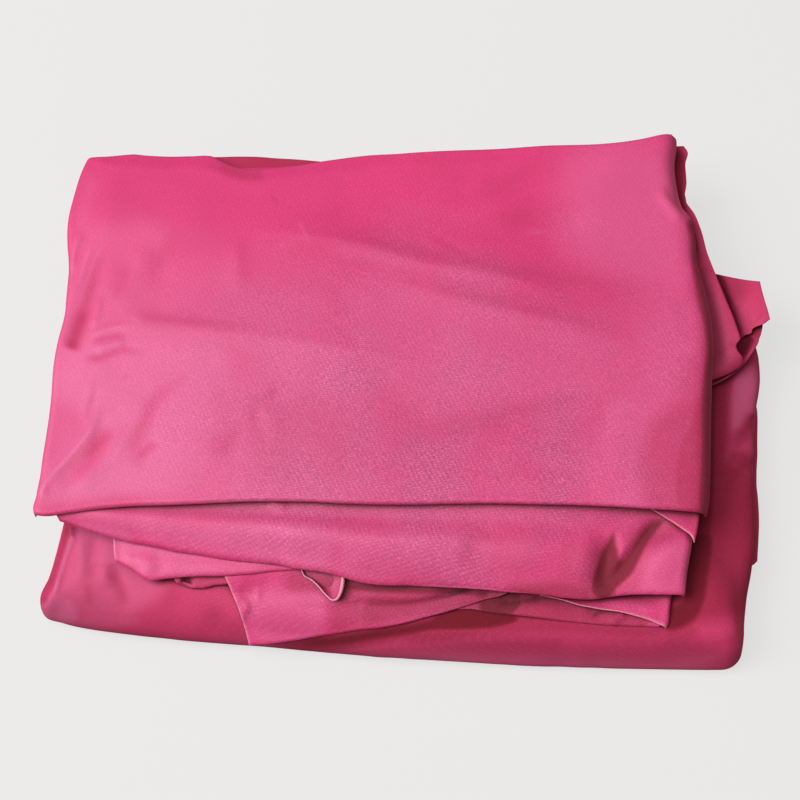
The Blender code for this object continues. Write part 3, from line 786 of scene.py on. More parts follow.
panel, panel_pts = ply(
    "top_panel_cloth", edge(T_FRONT), edge(T_RIGHT, 52), edge(T_BACK), edge(T_LEFT),
    rolls={"front": (2.2, 185, 3.0), "left": (5.0, 88, 5.0), "back": (3.6, 140, 3.0),
           "right": [(1.5, -13.2), (0.3, -12.8), (0.1, -12.0), (0.8, -10.6), (2.1, -8.6), (3.6, -6.4), (5.1, -4.4), (6.8, -2.7), (9.0, -1.3), (11.5, -0.5), (14.5, -0.1), (18, 0)]},
    scale={"left": lambda v: 0.45 + 0.55 * smooth(v, 0.0, 0.25), "right": lambda v: 0.72 + 0.28 * smooth(v, 0.0, 0.2) - 0.38 * smooth(v, 0.55, 0.75)},
    pitch=1.15, height=panel_height, level=62.4, seed=5,
    crumple=((0.35, 38.0), (0.10, 13.0)),
    folds=[
        ("v", 0.6, 5, [(128, 206), (92, 250), (77, 284), (69, 310)], 0.5, 0.3),
        ("v", 0.9, 4, [(84, 230), (76, 250), (71, 275)]),
        ("r", -1.1, 5.5, [(119, 230), (108, 246), (100, 261), (94, 280), (88, 300), (81, 318), (75, 334), (69, 350)], 0.75, 0.1),
        ("r", -0.35, 5, [(134, 256), (124, 278), (113, 306)], 0.4, 0.4),
        ("r", -0.4, 7, [(188, 222), (163, 257), (147, 297)], 0.4, 0.4),
        ("r", 0.7, 3, [(101, 294), (97, 312), (92, 330)]),
        ("r", 0.5, 3, [(88, 337), (98.6, 331.5), (128, 325.6), (140, 328.5)], 0.3, 0.4),
        ("r", -0.35, 3, [(90, 342), (110, 336), (131, 334)], 0.3, 0.3),
        ("r", 0.5, 3, [(93, 350), (119, 343), (128, 341)], 0.3, 0.3),
        ("r", -0.4, 3.5, [(82, 358), (101.5, 356.5), (125, 349), (151, 356)], 0.2, 0.5),
        ("r", 0.35, 3, [(93, 378), (88.3, 397.6), (81, 421)], 0.3, 0.4),
        ("r", -0.35, 3.5, [(99, 386), (94, 400), (88, 421)], 0.3, 0.4),
        ("r", 0.7, 4, [(100, 404), (89.8, 430), (66, 459.4), (45.6, 483), (38, 501)], 0.2, 0.1),
        ("r", -0.8, 6, [(110, 416), (101.5, 436), (94, 453.5), (78, 468), (57.4, 489)], 0.35, 0.2),
        ("r", 0.8, 8, [(132, 422), (113, 450), (87, 477), (66, 497)], 0.3, 0.3),
        ("r", -0.45, 6, [(208, 361), (180, 380), (158, 398), (148, 418), (142, 432), (136, 450), (129, 469)], 0.6, 0.25),
        ("r", -0.35, 3.5, [(163, 439), (150, 448), (141, 460), (134, 470)], 0.3, 0.4),
        ("r", 0.7, 7, [(235, 228), (237, 262), (237, 303)], 0.4, 0.5),
        ("r", 0.8, 10, [(155, 245), (135, 275), (113, 315)]),
        ("v", 1.3, 18, [(96, 322), (134, 318), (172, 323), (220, 331), (300, 342), (370, 352), (430, 362)], 0.15, 0.3),
        ("v", 1.9, 18, [(236, 228), (307, 236), (365, 246), (420, 262), (494, 275), (537, 286), (590, 300)], 0.25, 0.25),
        ("v", 1.1, 14, [(370, 274), (420, 289), (486, 305), (551, 320), (640, 340)], 0.3, 0.3),
        ("c", 0.22, 4, [(415, 228), (450, 248), (486, 268)], 0.5, 0.5),
        ("r", -0.8, 10, [(495, 212), (550, 218), (610, 224)], 0.5, 0.5),
        ("r", 0.9, 13, [(650, 150), (590, 196), (510, 236)], 0.5, 0.5),
        ("r", -0.6, 12, [(620, 155), (560, 180), (490, 200)], 0.5, 0.5),
        ("r", -0.5, 10, [(490, 462), (566, 472), (640, 488)], 0.5, 0.5),
        ("r", 0.7, 12, [(650, 372), (614, 440), (604, 505)], 0.5, 0.4),
        ("r", -0.6, 10, [(664, 405), (648, 455), (640, 500)], 0.5, 0.4),
        ("r", -0.6, 5.5, [(291, 374), (272, 395), (257, 409), (260, 427), (270, 452)], 0.3, 0.5),
        ("r", -0.5, 9, [(252, 412), (231, 436), (217, 463)], 0.5, 0.4),
        ("r", 0.35, 8, [(282, 404), (273, 425), (277, 446)], 0.4, 0.4),
        ("c", 0.9, 5, [(660, 186), (672, 200), (688, 222)]),
        ("r", -0.8, 10, [(694, 285), (690, 315), (700, 345)]),
        ("r", -0.9, 16, [(330, 424), (420, 425), (520, 415), (620, 402)], 0.4, 0.4),
    ],
    # painted shade along the panel's right edge, in its creases, beside the ply behind its back edge, under its front
    # left corner, and in broad soft patches
    painted_shade=[(0.50, 16, [(695, 516), (694, 450), (697, 403), (702, 374), (705, 350), (703, 325), (699, 305), (695, 285), (730, 285), (730, 516)]),
          ("r", 0.5, 7, [(704, 360), (701, 392), (699, 430), (699, 470), (701, 514)], 0.4, 0.1),
          (0.72, 4, [(701, 516), (699.5, 450), (699.5, 403), (703, 374), (706, 350), (703, 325), (697, 305), (694, 285), (692, 262), (692, 240), (688, 222), (716, 222), (726, 300), (726, 516)]),
          (0.2, 16, [(688, 360), (716, 360), (716, 512), (684, 512)]),
          (0.30, 14, [(652, 424), (716, 395), (716, 512), (650, 512)]),
          (0.46, 9, [(680, 436), (716, 405), (716, 512), (678, 512)]),
          ("r", 0.1, 12, [(405, 158), (440, 172), (475, 188)], 0.3, 0.3),
          ("r", 0.8, 1.3, [(34, 516.5), (42, 517.8), (54, 516.6)], 0.1, 0.3),
          ("r", 0.26, 4, [(119, 230), (108, 246), (100, 261), (94, 280), (88, 300), (81, 318), (75, 334), (69, 350)], 0.6, 0.1),
          ("r", 0.10, 5, [(134, 256), (124, 278), (113, 306)], 0.4, 0.4),
          ("r", 0.10, 7, [(188, 222), (163, 257), (147, 297)], 0.4, 0.4),
          (0.3, 7, [(222, 158), (240, 166), (262, 172), (262, 181), (235, 179), (222, 169)]),
          ("r", 0.46, 5, [(92, 290), (84, 312), (77, 332), (70, 352)], 0.5, 0.1),
          ("r", 0.1, 2.2, [(90, 342), (110, 336), (131, 334)], 0.3, 0.3),
          ("r", 0.12, 2.6, [(82, 358), (101.5, 356.5), (125, 349), (151, 356)], 0.2, 0.5),
          ("r", 0.2, 4.5, [(114, 424), (102, 440), (92, 450), (78, 466)], 0.3, 0.4),
          ("r", 0.08, 5, [(200, 366), (158, 398), (142, 432), (129, 469)], 0.5, 0.3),
          ("r", 0.1, 3, [(158, 441), (146, 450), (136, 462)], 0.3, 0.4),
          ("r", 0.1, 6, [(247, 420), (231, 438), (219, 461)], 0.4, 0.4),
          ("r", 0.17, 4.5, [(132, 317.5), (160, 320), (200, 323.5), (270, 330)], 0.1, 0.7),
          ("r", 0.15, 6, [(300, 231), (365, 242), (420, 253), (494, 266), (545, 275), (590, 283), (665, 299)], 0.2, 0.3),
          ("r", 0.12, 6, [(385, 277), (440, 290), (492, 301), (578, 321), (640, 343)], 0.3, 0.4),
          ("r", 0.16, 9, [(592, 210), (540, 213), (500, 223), (455, 238)], 0.3, 0.5),
          ("r", 0.12, 8, [(566, 148), (505, 184), (452, 214)], 0.4, 0.4),
          ("r", 0.1, 4.5, [(284, 384), (268, 398), (258, 412), (262, 430)], 0.3, 0.5),
          ("r", 0.13, 7, [(628, 391), (560, 402), (500, 414), (440, 430), (400, 446)], 0.4, 0.4),
          ("r", 0.15, 6, [(657, 436), (655, 455), (653, 474)], 0.4, 0.4),
          (0.10, 22, [(258, 404), (340, 402), (352, 474), (262, 486)]),
          ("r", 0.18, 9, [(690, 404), (688, 440), (688, 512)], 0.3, 0.1),
          ("r", 0.22, 1.3, [(268, 189), (275, 200), (281, 210)], 0.4, 0.4)],
    # painted highlight: broad paler patches at the left, lower left, middle and top right, and thin highlights along
    # fold ridges; items with a negative amount take painted highlight away along creases and at the front left edge
    pale=[(0.50, 42, [(40, 345), (130, 322), (240, 345), (225, 420), (195, 500), (40, 505)]),
          (0.29, 60, [(40, 256), (200, 258), (330, 318), (340, 500), (40, 505)]),
          (0.20, 26, [(345, 285), (440, 285), (560, 320), (650, 345), (640, 400), (520, 405), (400, 395), (345, 340)]),
          (0.24, 16, [(76, 230), (108, 222), (165, 225), (170, 300), (120, 305), (84, 300), (72, 285)]),
          (0.31, 32, [(575, 150), (668, 150), (690, 215), (690, 290), (600, 275), (560, 230)]),
          ("r", 0.12, 5, [(305, 243), (365, 254), (420, 267), (494, 281), (560, 296)], 0.2, 0.5),
          ("r", 0.5, 2.2, [(100, 404), (89.8, 430), (66, 459.4), (45.6, 483), (38, 501)], 0.3, 0.1),
          ("r", 0.42, 1.8, [(93, 236), (84, 264), (75, 296)], 0.3, 0.3),
          ("r", 0.38, 2.0, [(108, 234), (95, 260), (85, 286), (77, 306)], 0.3, 0.3),
          ("r", 0.36, 1.8, [(78, 226), (73, 254), (71, 288)], 0.3, 0.3),
          ("r", 0.3, 6, [(148, 232), (136, 262), (122, 300)], 0.4, 0.4),
          ("r", 0.14, 7, [(94, 166), (86, 200), (80, 230), (76, 262)], 0.2, 0.2),
          ("r", 0.25, 3.5, [(66, 330), (60, 352), (56, 385)], 0.3, 0.3),
          ("r", 0.55, 6, [(132, 424), (118, 450), (106, 478)], 0.3, 0.3),
          ("r", 0.12, 3, [(518, 230), (562, 233)], 0.4, 0.4),
          ("r", 0.16, 8, [(632, 392), (628, 420), (628, 447)], 0.4, 0.4),
          ("r", 0.35, 2.4, [(88, 336), (98.6, 331), (128, 325.6), (139, 328)], 0.3, 0.3),
          ("r", 0.35, 2.4, [(96, 348.5), (119, 343), (126, 341.5)], 0.3, 0.3),
          ("r", 0.22, 1.4, [(296, 216), (304, 232), (311, 246)], 0.4, 0.4),
          (0.22, 40, [(640, 215), (696, 225), (704, 300), (704, 515), (600, 515), (625, 330)]),
          (0.28, 14, [(610, 395), (652, 395), (652, 470), (606, 470)]),
          (-0.5, 14, [(54, 402), (82, 408), (86, 428), (72, 448), (54, 464), (44, 460), (48, 420)]),
          ("r", -0.7, 8, [(110, 420), (101, 440), (90, 456), (76, 470), (60, 486)], 0.3, 0.3),
          ("r", -0.75, 5, [(36, 514), (60, 511), (96, 505), (134, 501), (180, 500)], 0.1, 0.4),
          ("r", -0.5, 3.4, [(82, 358), (101.5, 356.5), (125, 349), (151, 356)], 0.2, 0.5),
          ("r", -0.45, 2.6, [(90, 342), (110, 336), (131, 334)], 0.3, 0.3),
          ("r", -0.4, 6, [(200, 366), (158, 398), (142, 432), (129, 469)], 0.5, 0.3),
          ("r", -0.5, 4, [(160, 440), (146, 450), (134, 464)], 0.3, 0.4),
          ("r", -0.3, 8, [(252, 415), (231, 438), (217, 463)], 0.4, 0.4),
          ("r", -0.5, 5, [(291, 374), (272, 395), (258, 410)], 0.3, 0.4),
          ("r", 0.62, 2.4, [(100, 404), (89.8, 430), (66, 459.4), (45.6, 483), (38, 501)], 0.3, 0.1)])
dress(panel, cloth)
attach(panel, "panel")
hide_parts("top_panel")

# underside of the panel's leaf
def flat_line(points, z):
    return Line([(x, y, z) for x, y in points])


def moved(line, dx, dy, z, low=0.0, high=1.0, n=40):
    """The line shifted in plan and laid at height z."""
    p = line(np.linspace(low, high, n))
    return Line(np.stack([p[:, 0] + dx, p[:, 1] + dy, np.full(n, z)], 1))


def loop(front, right, back, left):
    """Four lines with their ends brought together at the corners."""
    corners = [(front, 0, left, 0), (front, -1, right, 0), (back, -1, right, -1), (back, 0, left, -1)]
    for a, i, b, j in corners:
        mid = 0.5 * (a.p[i] + b.p[j])
        for line, k in ((a, i), (b, j)):
            shift = mid - line.p[k]
            w = (1 - line.s if k == 0 else line.s)[:, None] ** 8
            line.p = line.p + shift * w
    return front, right, back, left


panel_under, _ = ply(
    "panel_underside", *loop(moved(edge(T_FRONT), 0, 3.4, 59.75), moved(edge(T_RIGHT, 54), -7.0, 0, 59.75),
                             moved(edge(T_BACK), 0, -4, 59.75), moved(edge(T_LEFT), 20.0, 0, 59.75)),
    pitch=3.0, crumple=((0.12, 30.0),), seed=12)
panel_under.data.flip_normals()
dress(panel_under, cloth_shade)
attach(panel_under, "panel")

# the ply that shows behind the panel's back edge
back_ply, _ = ply(
    "back_ply", edge([(205, 180), (260, 186), (330, 178)], 58), edge([(330, 178), (328, 168), (325, 162.5)], 57),
    edge([(214, 157.2), (249, 157), (300, 160), (325, 162.5)], 57), edge([(205, 180), (208, 168), (214, 157.2)], 57),
    rolls={"back": (1.2, 170, 3)}, lift=1.2, pitch=1.2, crumple=((0.15, 12.0),), seed=14,
    # painted shade over the whole ply, which lies under the panel's back edge
    painted_shade=[(0.42, 4, [(204, 150), (334, 150), (334, 182), (204, 182)])])
dress(back_ply, cloth_low_shaded)
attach(back_ply, "upper_packet")

# -------------------------------------------------------------- front tongue
L2_FRONT = [(59, 520, 53), (69, 523, 52), (81, 528, 50.5), (91, 531, 50), (112, 537, 49), (132, 542, 48), (160, 547, 47.5),
            (171, 550, 47), (200, 554.8, 46), (225.5, 559, 45.5), (251, 561.6, 45), (277.6, 564, 45), (291.8, 568, 45), (302, 569.6, 45),
            (320.4, 572, 45), (338, 575.8, 45), (360, 582.3, 45), (380, 584.9, 45), (407.6, 585.5, 45), (437.4, 587.3, 45),
            (460.4, 588.4, 45), (481, 589.8, 45), (510, 592.4, 45), (529, 593.5, 45), (550, 595.6, 44.5), (563, 597.3, 44),
            (578, 598.3, 43.5), (592, 598.8, 43), (604, 597.5, 43), (620, 595.2, 43.5), (643, 594, 44.5), (672, 594.5, 45), (685.5, 594.8, 45)]
L2_RIGHT = [(685.5, 594.8, 45), (687, 582, 45), (689, 563.5, 45.5), (692, 545, 46.5), (695, 520, 50), (698, 495, 54)]
L2_BACK = [(50, 500, 57), (120, 488, 57.5), (250, 484, 57.8), (400, 486, 57.8), (550, 488, 57.5), (698, 495, 54)]
L2_LEFT = [(59, 520, 53), (56, 514, 54.5), (50, 500, 57)]


def tongue_height(u, v, x, y):
    """Swells between the panel's edge above it and its own front edge."""
    swell = 2.4 + 2.6 * smooth(u, 0.12, 0.4) * (1 - 0.35 * smooth(u, 0.75, 0.95))
    return 1.0 + 0.8 * smooth(v, 0.0, 0.3) + swell * np.exp(-(((v - 0.40) / np.where(v < 0.40, 0.24, 0.20)) ** 2)) * smooth(u, 0.0, 0.1)


tongue, tongue_pts = ply(
    "front_tongue_cloth", edge(L2_FRONT), edge(L2_RIGHT), edge(L2_BACK), edge(L2_LEFT),
    rolls={"front": (2.2, 175, 5.0), "right": [(1.0, -6.2), (0.1, -5.4), (0.3, -4.2), (1.3, -2.2), (2.6, -0.8), (4.5, 0)]},
    scale={"right": lambda v: 0.4 + 0.6 * smooth(v, 0.0, 0.25)},
    pitch=1.15, height=tongue_height, seed=21,
    crumple=((0.35, 30.0), (0.14, 10.0)),
    folds=[
        ("r", -0.4, 6, [(190, 509), (250, 512), (330, 515), (400, 518), (462, 517), (520, 511)], 0.3, 0.3),
        ("v", 0.6, 12, [(235, 530), (300, 534), (380, 538), (450, 537), (500, 530)], 0.3, 0.3),
        ("r", 0.9, 4, [(270, 500), (280, 506), (288, 512)], 0.1, 0.4),
        ("a", -4.0, (8, 5), [(614, 530), (611, 548), (607, 568), (604, 596)], 0.35, 0.25),
        ("a", -3.0, (4, 9), [(664, 514), (645, 535), (631, 555), (617, 576), (609, 596)], 0.25, 0.25),
        ("r", -1.6, 13, [(395, 588), (470, 592), (545, 598)], 0.3, 0.3),
        ("r", 1.2, 9, [(592, 522), (585, 550), (580, 585)], 0.4, 0.2),
        ("r", 0.9, 11, [(675, 530), (664, 560), (656, 588)], 0.3, 0.2),
        ("r", -0.35, 6, [(480, 526), (499, 536), (515, 545)], 0.4, 0.4),
        ("r", -0.3, 6, [(426, 537), (443, 545), (462, 552)], 0.4, 0.4),
        ("r", -0.7, 10, [(490, 520), (478, 545), (470, 575)]),
        ("r", 0.6, 10, [(540, 515), (530, 545), (524, 580)]),
    ],
    # painted shade inside the two pleats at the right, along its lower part and in soft patches
    painted_shade=[(0.90, 3.5, [(613.5, 533), (606, 543), (600.5, 554), (595, 570), (591, 592), (601, 600), (611, 597), (618, 588),
                      (632, 575), (640, 560), (650, 541), (660, 528), (664, 521), (655, 519), (637, 538), (629, 552), (622, 560), (617, 545)]),
          ("r", 0.16, 8, [(300, 562), (400, 576), (500, 583), (560, 585)], 0.3, 0.3),
          (0.14, 12, [(465, 528), (530, 528), (530, 575), (460, 575)]),
          (0.24, 8, [(562, 548), (598, 548), (592, 572), (592, 596), (570, 596)]),
          (0.24, 7, [(554, 576), (598, 572), (598, 600), (554, 598)]),
          ("r", 0.62, 6.5, [(490, 590), (530, 590), (570, 590), (596, 595)], 0.3, 0.1),
          (0.28, 7, [(628, 530), (640, 524), (664, 524), (670, 540), (650, 560), (636, 590), (622, 592)])],
    # painted highlight on its left part, middle and right, and along the panel's edge above it
    pale=[(0.30, 7, [(72, 520), (128, 524), (132, 542), (94, 534)]),
          (0.35, 12, [(60, 518), (120, 530), (230, 552), (330, 565), (330, 535), (200, 525), (110, 516)]),
          (0.18, 14, [(250, 532), (470, 535), (540, 550), (520, 575), (300, 560)]),
          (0.28, 12, [(646, 548), (690, 540), (686, 592), (632, 590)]),
          ("r", 0.1, 5, [(120, 512), (200, 511.5), (300, 512.5), (400, 514), (520, 514.5), (600, 517)], 0.1, 0.15)])
dress(tongue, cloth)
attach(tongue, "upper_packet")
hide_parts("front_tongue")

# --------------------------------------------------------------- left tongue
left_tongue, _ = ply(
    "left_tongue_cloth",
    edge([(115, 560, 41), (122, 564, 40.5), (130, 568, 40.5), (138, 573.5, 40), (145, 578.5, 40), (152, 580.5, 40),
          (161, 579, 40), (177, 577, 40), (200, 575.5, 40.5), (224.5, 575.2, 41), (251, 573.4, 41.3), (271, 571.3, 41.6), (304, 569.6, 42)]),
    edge([(304, 569.6, 42), (305, 561, 42.3), (306, 552, 42.6)]),
    edge([(113, 528, 44), (170, 535, 43.5), (240, 542, 43), (306, 552, 42.6)]),
    edge([(115, 560, 41), (114, 550, 42), (113.5, 540, 43), (113, 528, 44)]),
    rolls={"front": (1.4, 175, 3.0)}, lift=0.8, pitch=1.0, thick=0.5, seed=31,
    folds=[("v", 0.9, 6, [(118, 556), (150, 562), (200, 566), (250, 566)], 0.1, 0.3),
           ("r", 0.6, 6, [(152, 578), (146, 566), (132, 554)]),
           ("r", -0.5, 6, [(166, 574), (160, 562), (150, 552)])],
    # painted highlight along the tongue's upper part
    pale=[(0.26, 8, [(116, 540), (200, 552), (270, 562), (240, 572), (150, 576), (118, 558)])],
    rims=("left",))
dress(left_tongue, cloth)
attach(left_tongue, "upper_packet")
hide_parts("left_tongue")

left_fold, _ = ply(
    "left_small_fold",
    edge([(176, 583, 37), (184, 585.5, 36.5), (192, 588, 36), (203, 588.2, 36), (215, 585.2, 36.5), (226, 584.2, 37), (240, 582, 37.5)]),
    edge([(240, 582, 37.5), (240, 570, 39), (240, 560, 40)]),
    edge([(170, 562, 40), (200, 560, 40), (240, 560, 40)]),
    edge([(176, 583, 37), (172, 573, 38.5), (170, 562, 40)]),
    rolls={"front": (0.8, 170, 2.0)}, lift=0.4, pitch=0.9, thick=0.4, seed=32,
    folds=[("r", -2.4, 4, [(181, 577), (187, 580.5), (196, 582)], 0.3, 0.5)],
    # painted shade in the fold's dip, along its crease and over the whole fold
    painted_shade=[(0.95, 2.0, [(179, 575), (190, 576), (191, 584), (182, 585)]),
          ("r", 0.7, 2.2, [(186, 578), (205, 578), (232, 576)], 0.1, 0.1),
          (0.42, 4, [(176, 574), (240, 572), (240, 590), (176, 590)])])
dress(left_fold, cloth)
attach(left_fold, "upper_packet")

# -------------------------------------------------------------- right tongue
right_tongue, _ = ply(
    "right_tongue_cloth",
    edge([(540, 595, 38.8), (547, 596.4, 38.8), (563, 599.8, 38.8), (578, 604.5, 38.8), (591.7, 607.3, 38.8), (604.3, 609.6, 38.6), (620.4, 612, 38.4),
          (637.6, 616.5, 38), (650.2, 620.5, 37.6), (660.5, 625, 37.2), (667, 627.7, 37)]),
    edge([(667, 627.7, 37), (669.7, 623.5, 37), (671, 610.5, 38), (672.6, 597, 38.8), (674, 584, 39)]),
    edge([(538, 586, 36.5), (585, 590, 35.2), (615, 590, 35), (645, 588, 36), (674, 584, 39)]),
    edge([(540, 595, 38.8), (539, 590, 38), (538, 586, 37)]),
    rolls={"right": [(0.6, -3.0), (0.1, -2.5), (0.6, -1.2), (1.6, -0.3), (3, 0)]},
    lift=0.2, pitch=0.9, thick=0.5, seed=33, crumple=((0.25, 22.0), (0.1, 9.0)),
    folds=[("r", 0.7, 6, [(600, 600), (640, 606), (664, 616)])],
    rims=("front",))
dress(right_tongue, cloth)
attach(right_tongue, "upper_packet")
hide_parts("right_tongue")

# ----------------------------------------------- small fold low at the right
low_fold, _ = ply(
    "low_fold_cloth",
    edge([(452, 609.5, 34.6), (460, 609.3, 35.4), (472, 609.5, 35.9), (484, 611.6, 36), (496, 613.2, 36), (515, 615, 35.8), (540, 618, 35.6),
          (563, 621.2, 35.4), (590, 624, 35.2), (611, 625.6, 35.1), (627, 626.3, 35.1), (645, 626.6, 35.1), (660, 627, 35.2)]),
    edge([(660, 627, 35.2), (662, 612, 36.2), (663, 598, 37.2)]),
    edge([(452, 596, 34.4), (500, 592, 35.2), (550, 592, 36), (620, 596, 35.8), (663, 598, 36.6)]),
    edge([(452, 609.5, 34.6), (451, 602, 34.4), (452, 596, 34.4)]),
    rolls={"front": (0.9, 165, 2.0)}, pitch=0.9, thick=0.4, seed=35, height=lambda u, v, x, y: 0.7 * smooth(u, 0.0, 0.1),
    folds=[("r", -0.6, 4.5, [(586, 606), (596, 613), (606, 618)], 0.3, 0.3),
           ("r", 1.4, 3.5, [(626, 612), (618, 617), (611, 624)], 0.3, 0.1),
           ("r", -0.6, 4, [(502, 592), (504, 599), (506, 607)], 0.1, 0.3),
           ("v", -1.4, 3, [(508, 601), (529, 598.7), (548, 595.6)], 0.0, 0.3),
           ("r", 0.9, 6, [(500, 611), (535, 609), (570, 611)], 0.3, 0.4)],
    # painted shade over most of the fold, strongest in its left part and its creases
    painted_shade=[(0.60, 6, [(452, 590), (560, 590), (640, 598), (648, 612), (646, 630), (560, 626), (452, 616)]),
          (0.95, 5, [(480, 592), (520, 592), (522, 606), (508, 618), (480, 614)]),
          (0.85, 2.5, [(590, 618), (597, 609), (606, 608), (616, 609), (610, 613), (601, 616)]),
          (0.8, 2.5, [(498, 600), (504, 594), (511, 598), (512, 606), (502, 609)]),
          ("r", 0.8, 1.8, [(510, 601), (529, 598.7), (546, 596)], 0.1, 0.3)])
dress(low_fold, cloth)
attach(low_fold, "upper_packet")

# ------------------------------------------------------------- front corner
L4_LEFT = [(249.2, 645.5, 19), (244.9, 628.8, 24), (239.8, 612.4, 29), (233.7, 597.1, 33.5), (228.6, 585, 37.2), (224.2, 575.2, 39.4), (221, 566, 40.5)]
L4_FRONT = [(249.2, 645.5, 19), (265.3, 645, 19.5), (286.7, 642, 20.5), (302, 639.6, 21.5), (322.4, 636, 23), (343, 632.8, 24.5), (360, 630, 26),
            (380, 628, 27), (408.7, 622.3, 29), (426, 617.4, 30.5), (437.4, 614.6, 31.5), (460.4, 607.9, 34), (483.3, 600.4, 36), (499.4, 596.4, 37.3), (508, 593, 38.3)]
L4_BACK = [(221, 566, 40.5), (280, 562, 41.3), (350, 566, 41.5), (430, 572, 41.5), (508, 580, 40.5)]
L4_RIGHT = [(508, 593, 38.3), (508, 587, 39.4), (508, 580, 40.5)]
flap, flap_pts = ply(
    "front_corner_cloth", edge(laid(L4_FRONT)), edge(laid(L4_RIGHT)), edge(laid(L4_BACK)), edge(laid(L4_LEFT)),
    pitch=1.0, lift=0.5, thick=0.6, seed=41, over=base_shell, crumple=((0.3, 26.0), (0.12, 9.0)),
    folds=[
        ("v", -2.8, 5, [(336, 601), (360, 603.5), (403, 604.3), (426, 600.8), (443, 596.6), (458, 591), (466, 588)], 0.3, 0.0),
        ("r", 1.3, 7, [(345, 592), (400, 594), (450, 588)], 0.3, 0.2),
        ("r", 1.2, 9, [(330, 620), (390, 615), (440, 604), (490, 593)], 0.3, 0.1),
        ("c", 0.6, 5, [(236, 592), (246, 599), (255, 605)], 0.2, 0.3),
        ("c", 0.6, 5, [(255, 605), (248, 616), (243, 625)], 0.3, 0.2),
        ("r", -0.7, 7, [(240, 586), (258, 585), (280, 586)], 0.4, 0.4),
        ("r", -0.6, 6, [(246, 619), (260, 617), (278, 615)], 0.4, 0.4),
        ("r", 0.5, 2.5, [(258, 588), (258, 596), (258, 603)], 0.3, 0.3),
    ],
    # painted shade along its crease, under the front tongue's edge and over its right part
    painted_shade=[("r", 0.8, 3.0, [(345, 602.5), (370, 604), (385, 604.5), (403, 604.3), (426, 600.8), (443, 597), (458, 592), (466, 589)], 0.25, 0.0),
          ("r", 0.85, 4.5, [(330, 582), (350, 586), (380, 589), (420, 590.5), (460, 592), (500, 596)], 0.15, 0.1),
          (0.34, 8, [(335, 584), (420, 588), (500, 594), (460, 610), (400, 624), (335, 636)]),
          (0.36, 7, [(286, 572), (318, 574), (380, 582), (430, 588), (428, 600), (370, 598), (322, 592), (290, 590)]),
          (0.26, 7, [(348, 602), (430, 602), (430, 618), (400, 626), (350, 630)]),
          (0.56, 7, [(365, 598), (420, 594), (500, 590), (500, 600), (455, 611), (400, 620), (362, 624)])],
    # painted highlight on its left part
    pale=[(0.22, 8, [(246, 596), (320, 590), (322, 634), (256, 640)])],
    rims=("left",))
dress(flap, cloth)
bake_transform(flap)
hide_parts("front_flap_root", "front_flap")

# ------------------------------------------------ small ply under the panel
corner_ply, _ = ply(
    "panel_corner_ply",
    edge([(649.5, 508.5, 57), (654, 510.5, 56.8), (661.7, 515.4, 56), (674.3, 523.4, 55), (683.5, 529.8, 54.3), (690.4, 535, 53.8), (695, 542, 53.5)]),
    edge([(695, 542, 53.5), (696.8, 535, 53.8), (698.4, 528, 54.2), (700, 517, 54.8), (701, 500, 55.5)]),
    edge([(648, 496, 57.5), (680, 497, 56.5), (701, 500, 55.5)]),
    edge([(649.5, 508.5, 57), (649, 503, 57.3), (648, 496, 57.5)]),
    rolls={"right": [(0.3, -2.0), (0.1, -1.5), (0.6, -0.6), (1.8, 0)]},
    pitch=0.7, thick=0.5, seed=51, crumple=((0.15, 14.0),), lift=0.0, rims=("front",),
    # painted shade along the panel's edge above it
    painted_shade=[(0.35, 6, [(652, 506), (676, 510), (700, 514), (700, 530), (692, 530), (676, 516)])])
dress(corner_ply, cloth)
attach(corner_ply, "upper_packet")

# ------------------------------------------------------------ ply at the side
M_RIGHT = [(744.7, 360.6, 44), (741.7, 355.6, 45.4), (738.2, 352, 46), (735.8, 347, 46.6), (736.8, 343.8, 47), (739.5, 340, 47.2), (739.5, 336.5, 47.4),
           (735.6, 325.3, 48), (731.3, 313.2, 48.4), (727, 303.7, 48.6), (722.7, 293.4, 48.8), (718.4, 282.2, 48.8), (715.8, 274.5, 48.6),
           (712, 265, 47.4), (707, 252, 47.6), (701, 231, 47.6), (694, 214, 47.2), (685, 200, 46.6), (686.5, 183, 46),
           (685.5, 165, 45.6), (688, 153, 45.4), (684, 147, 45.6)]
side_ply, _ = ply(
    "side_ply_cloth",
    edge([(676, 386, 46), (700, 383, 43), (713.2, 378.5, 41.5), (724.4, 374.6, 41.5), (735.6, 368.8, 42.5), (744.7, 360.6, 44)]),
    edge(M_RIGHT),
    edge([(655, 150, 46.5), (670, 148, 46), (684, 147, 45.6)]),
    edge([(676, 386, 46), (668, 300, 50), (660, 220, 48), (655, 150, 46.5)]),
    rolls={"right": (1.2, 170, 3), "front": [(2.0, -5.0), (0.2, -4.0), (0.2, -2.9), (1.8, -1.3), (4.5, -0.3), (8, 0)]},
    lift=1.2, pitch=1.0, thick=0.5, seed=61, crumple=((0.25, 25.0), (0.1, 9.0)),
    folds=[("r", 1.5, 6.5, [(704, 262), (714, 290), (723, 318), (727.5, 345), (727, 368)], 0.35, 0.15),
           ("r", -1.0, 5, [(697, 262), (706, 292), (713, 325), (716, 352), (716, 372)], 0.3, 0.1),
           ("r", -0.8, 3, [(740, 341), (734, 344), (729, 348)], 0.1, 0.4),
           ("r", 0.9, 3, [(688, 214), (696, 236), (702, 258)], 0.3, 0.3)],
    # painted highlight on the ply's ridge; painted shade in its valley and at its top, beside the panel
    pale=[(0.12, 7, [(706, 272), (718, 292), (728, 318), (736, 346), (726, 368), (706, 374), (704, 310)])],
    painted_shade=[("r", 0.12, 4, [(692, 232), (700, 262), (709, 292), (714.5, 325), (716, 352), (716, 374)], 0.1, 0.0),
          (0.7, 4, [(676, 150), (686, 158), (685, 200), (692, 225), (686, 235), (674, 200)])])
dress(side_ply, cloth_low_shaded)
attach(side_ply, "upper_packet")
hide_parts("side_leaf")

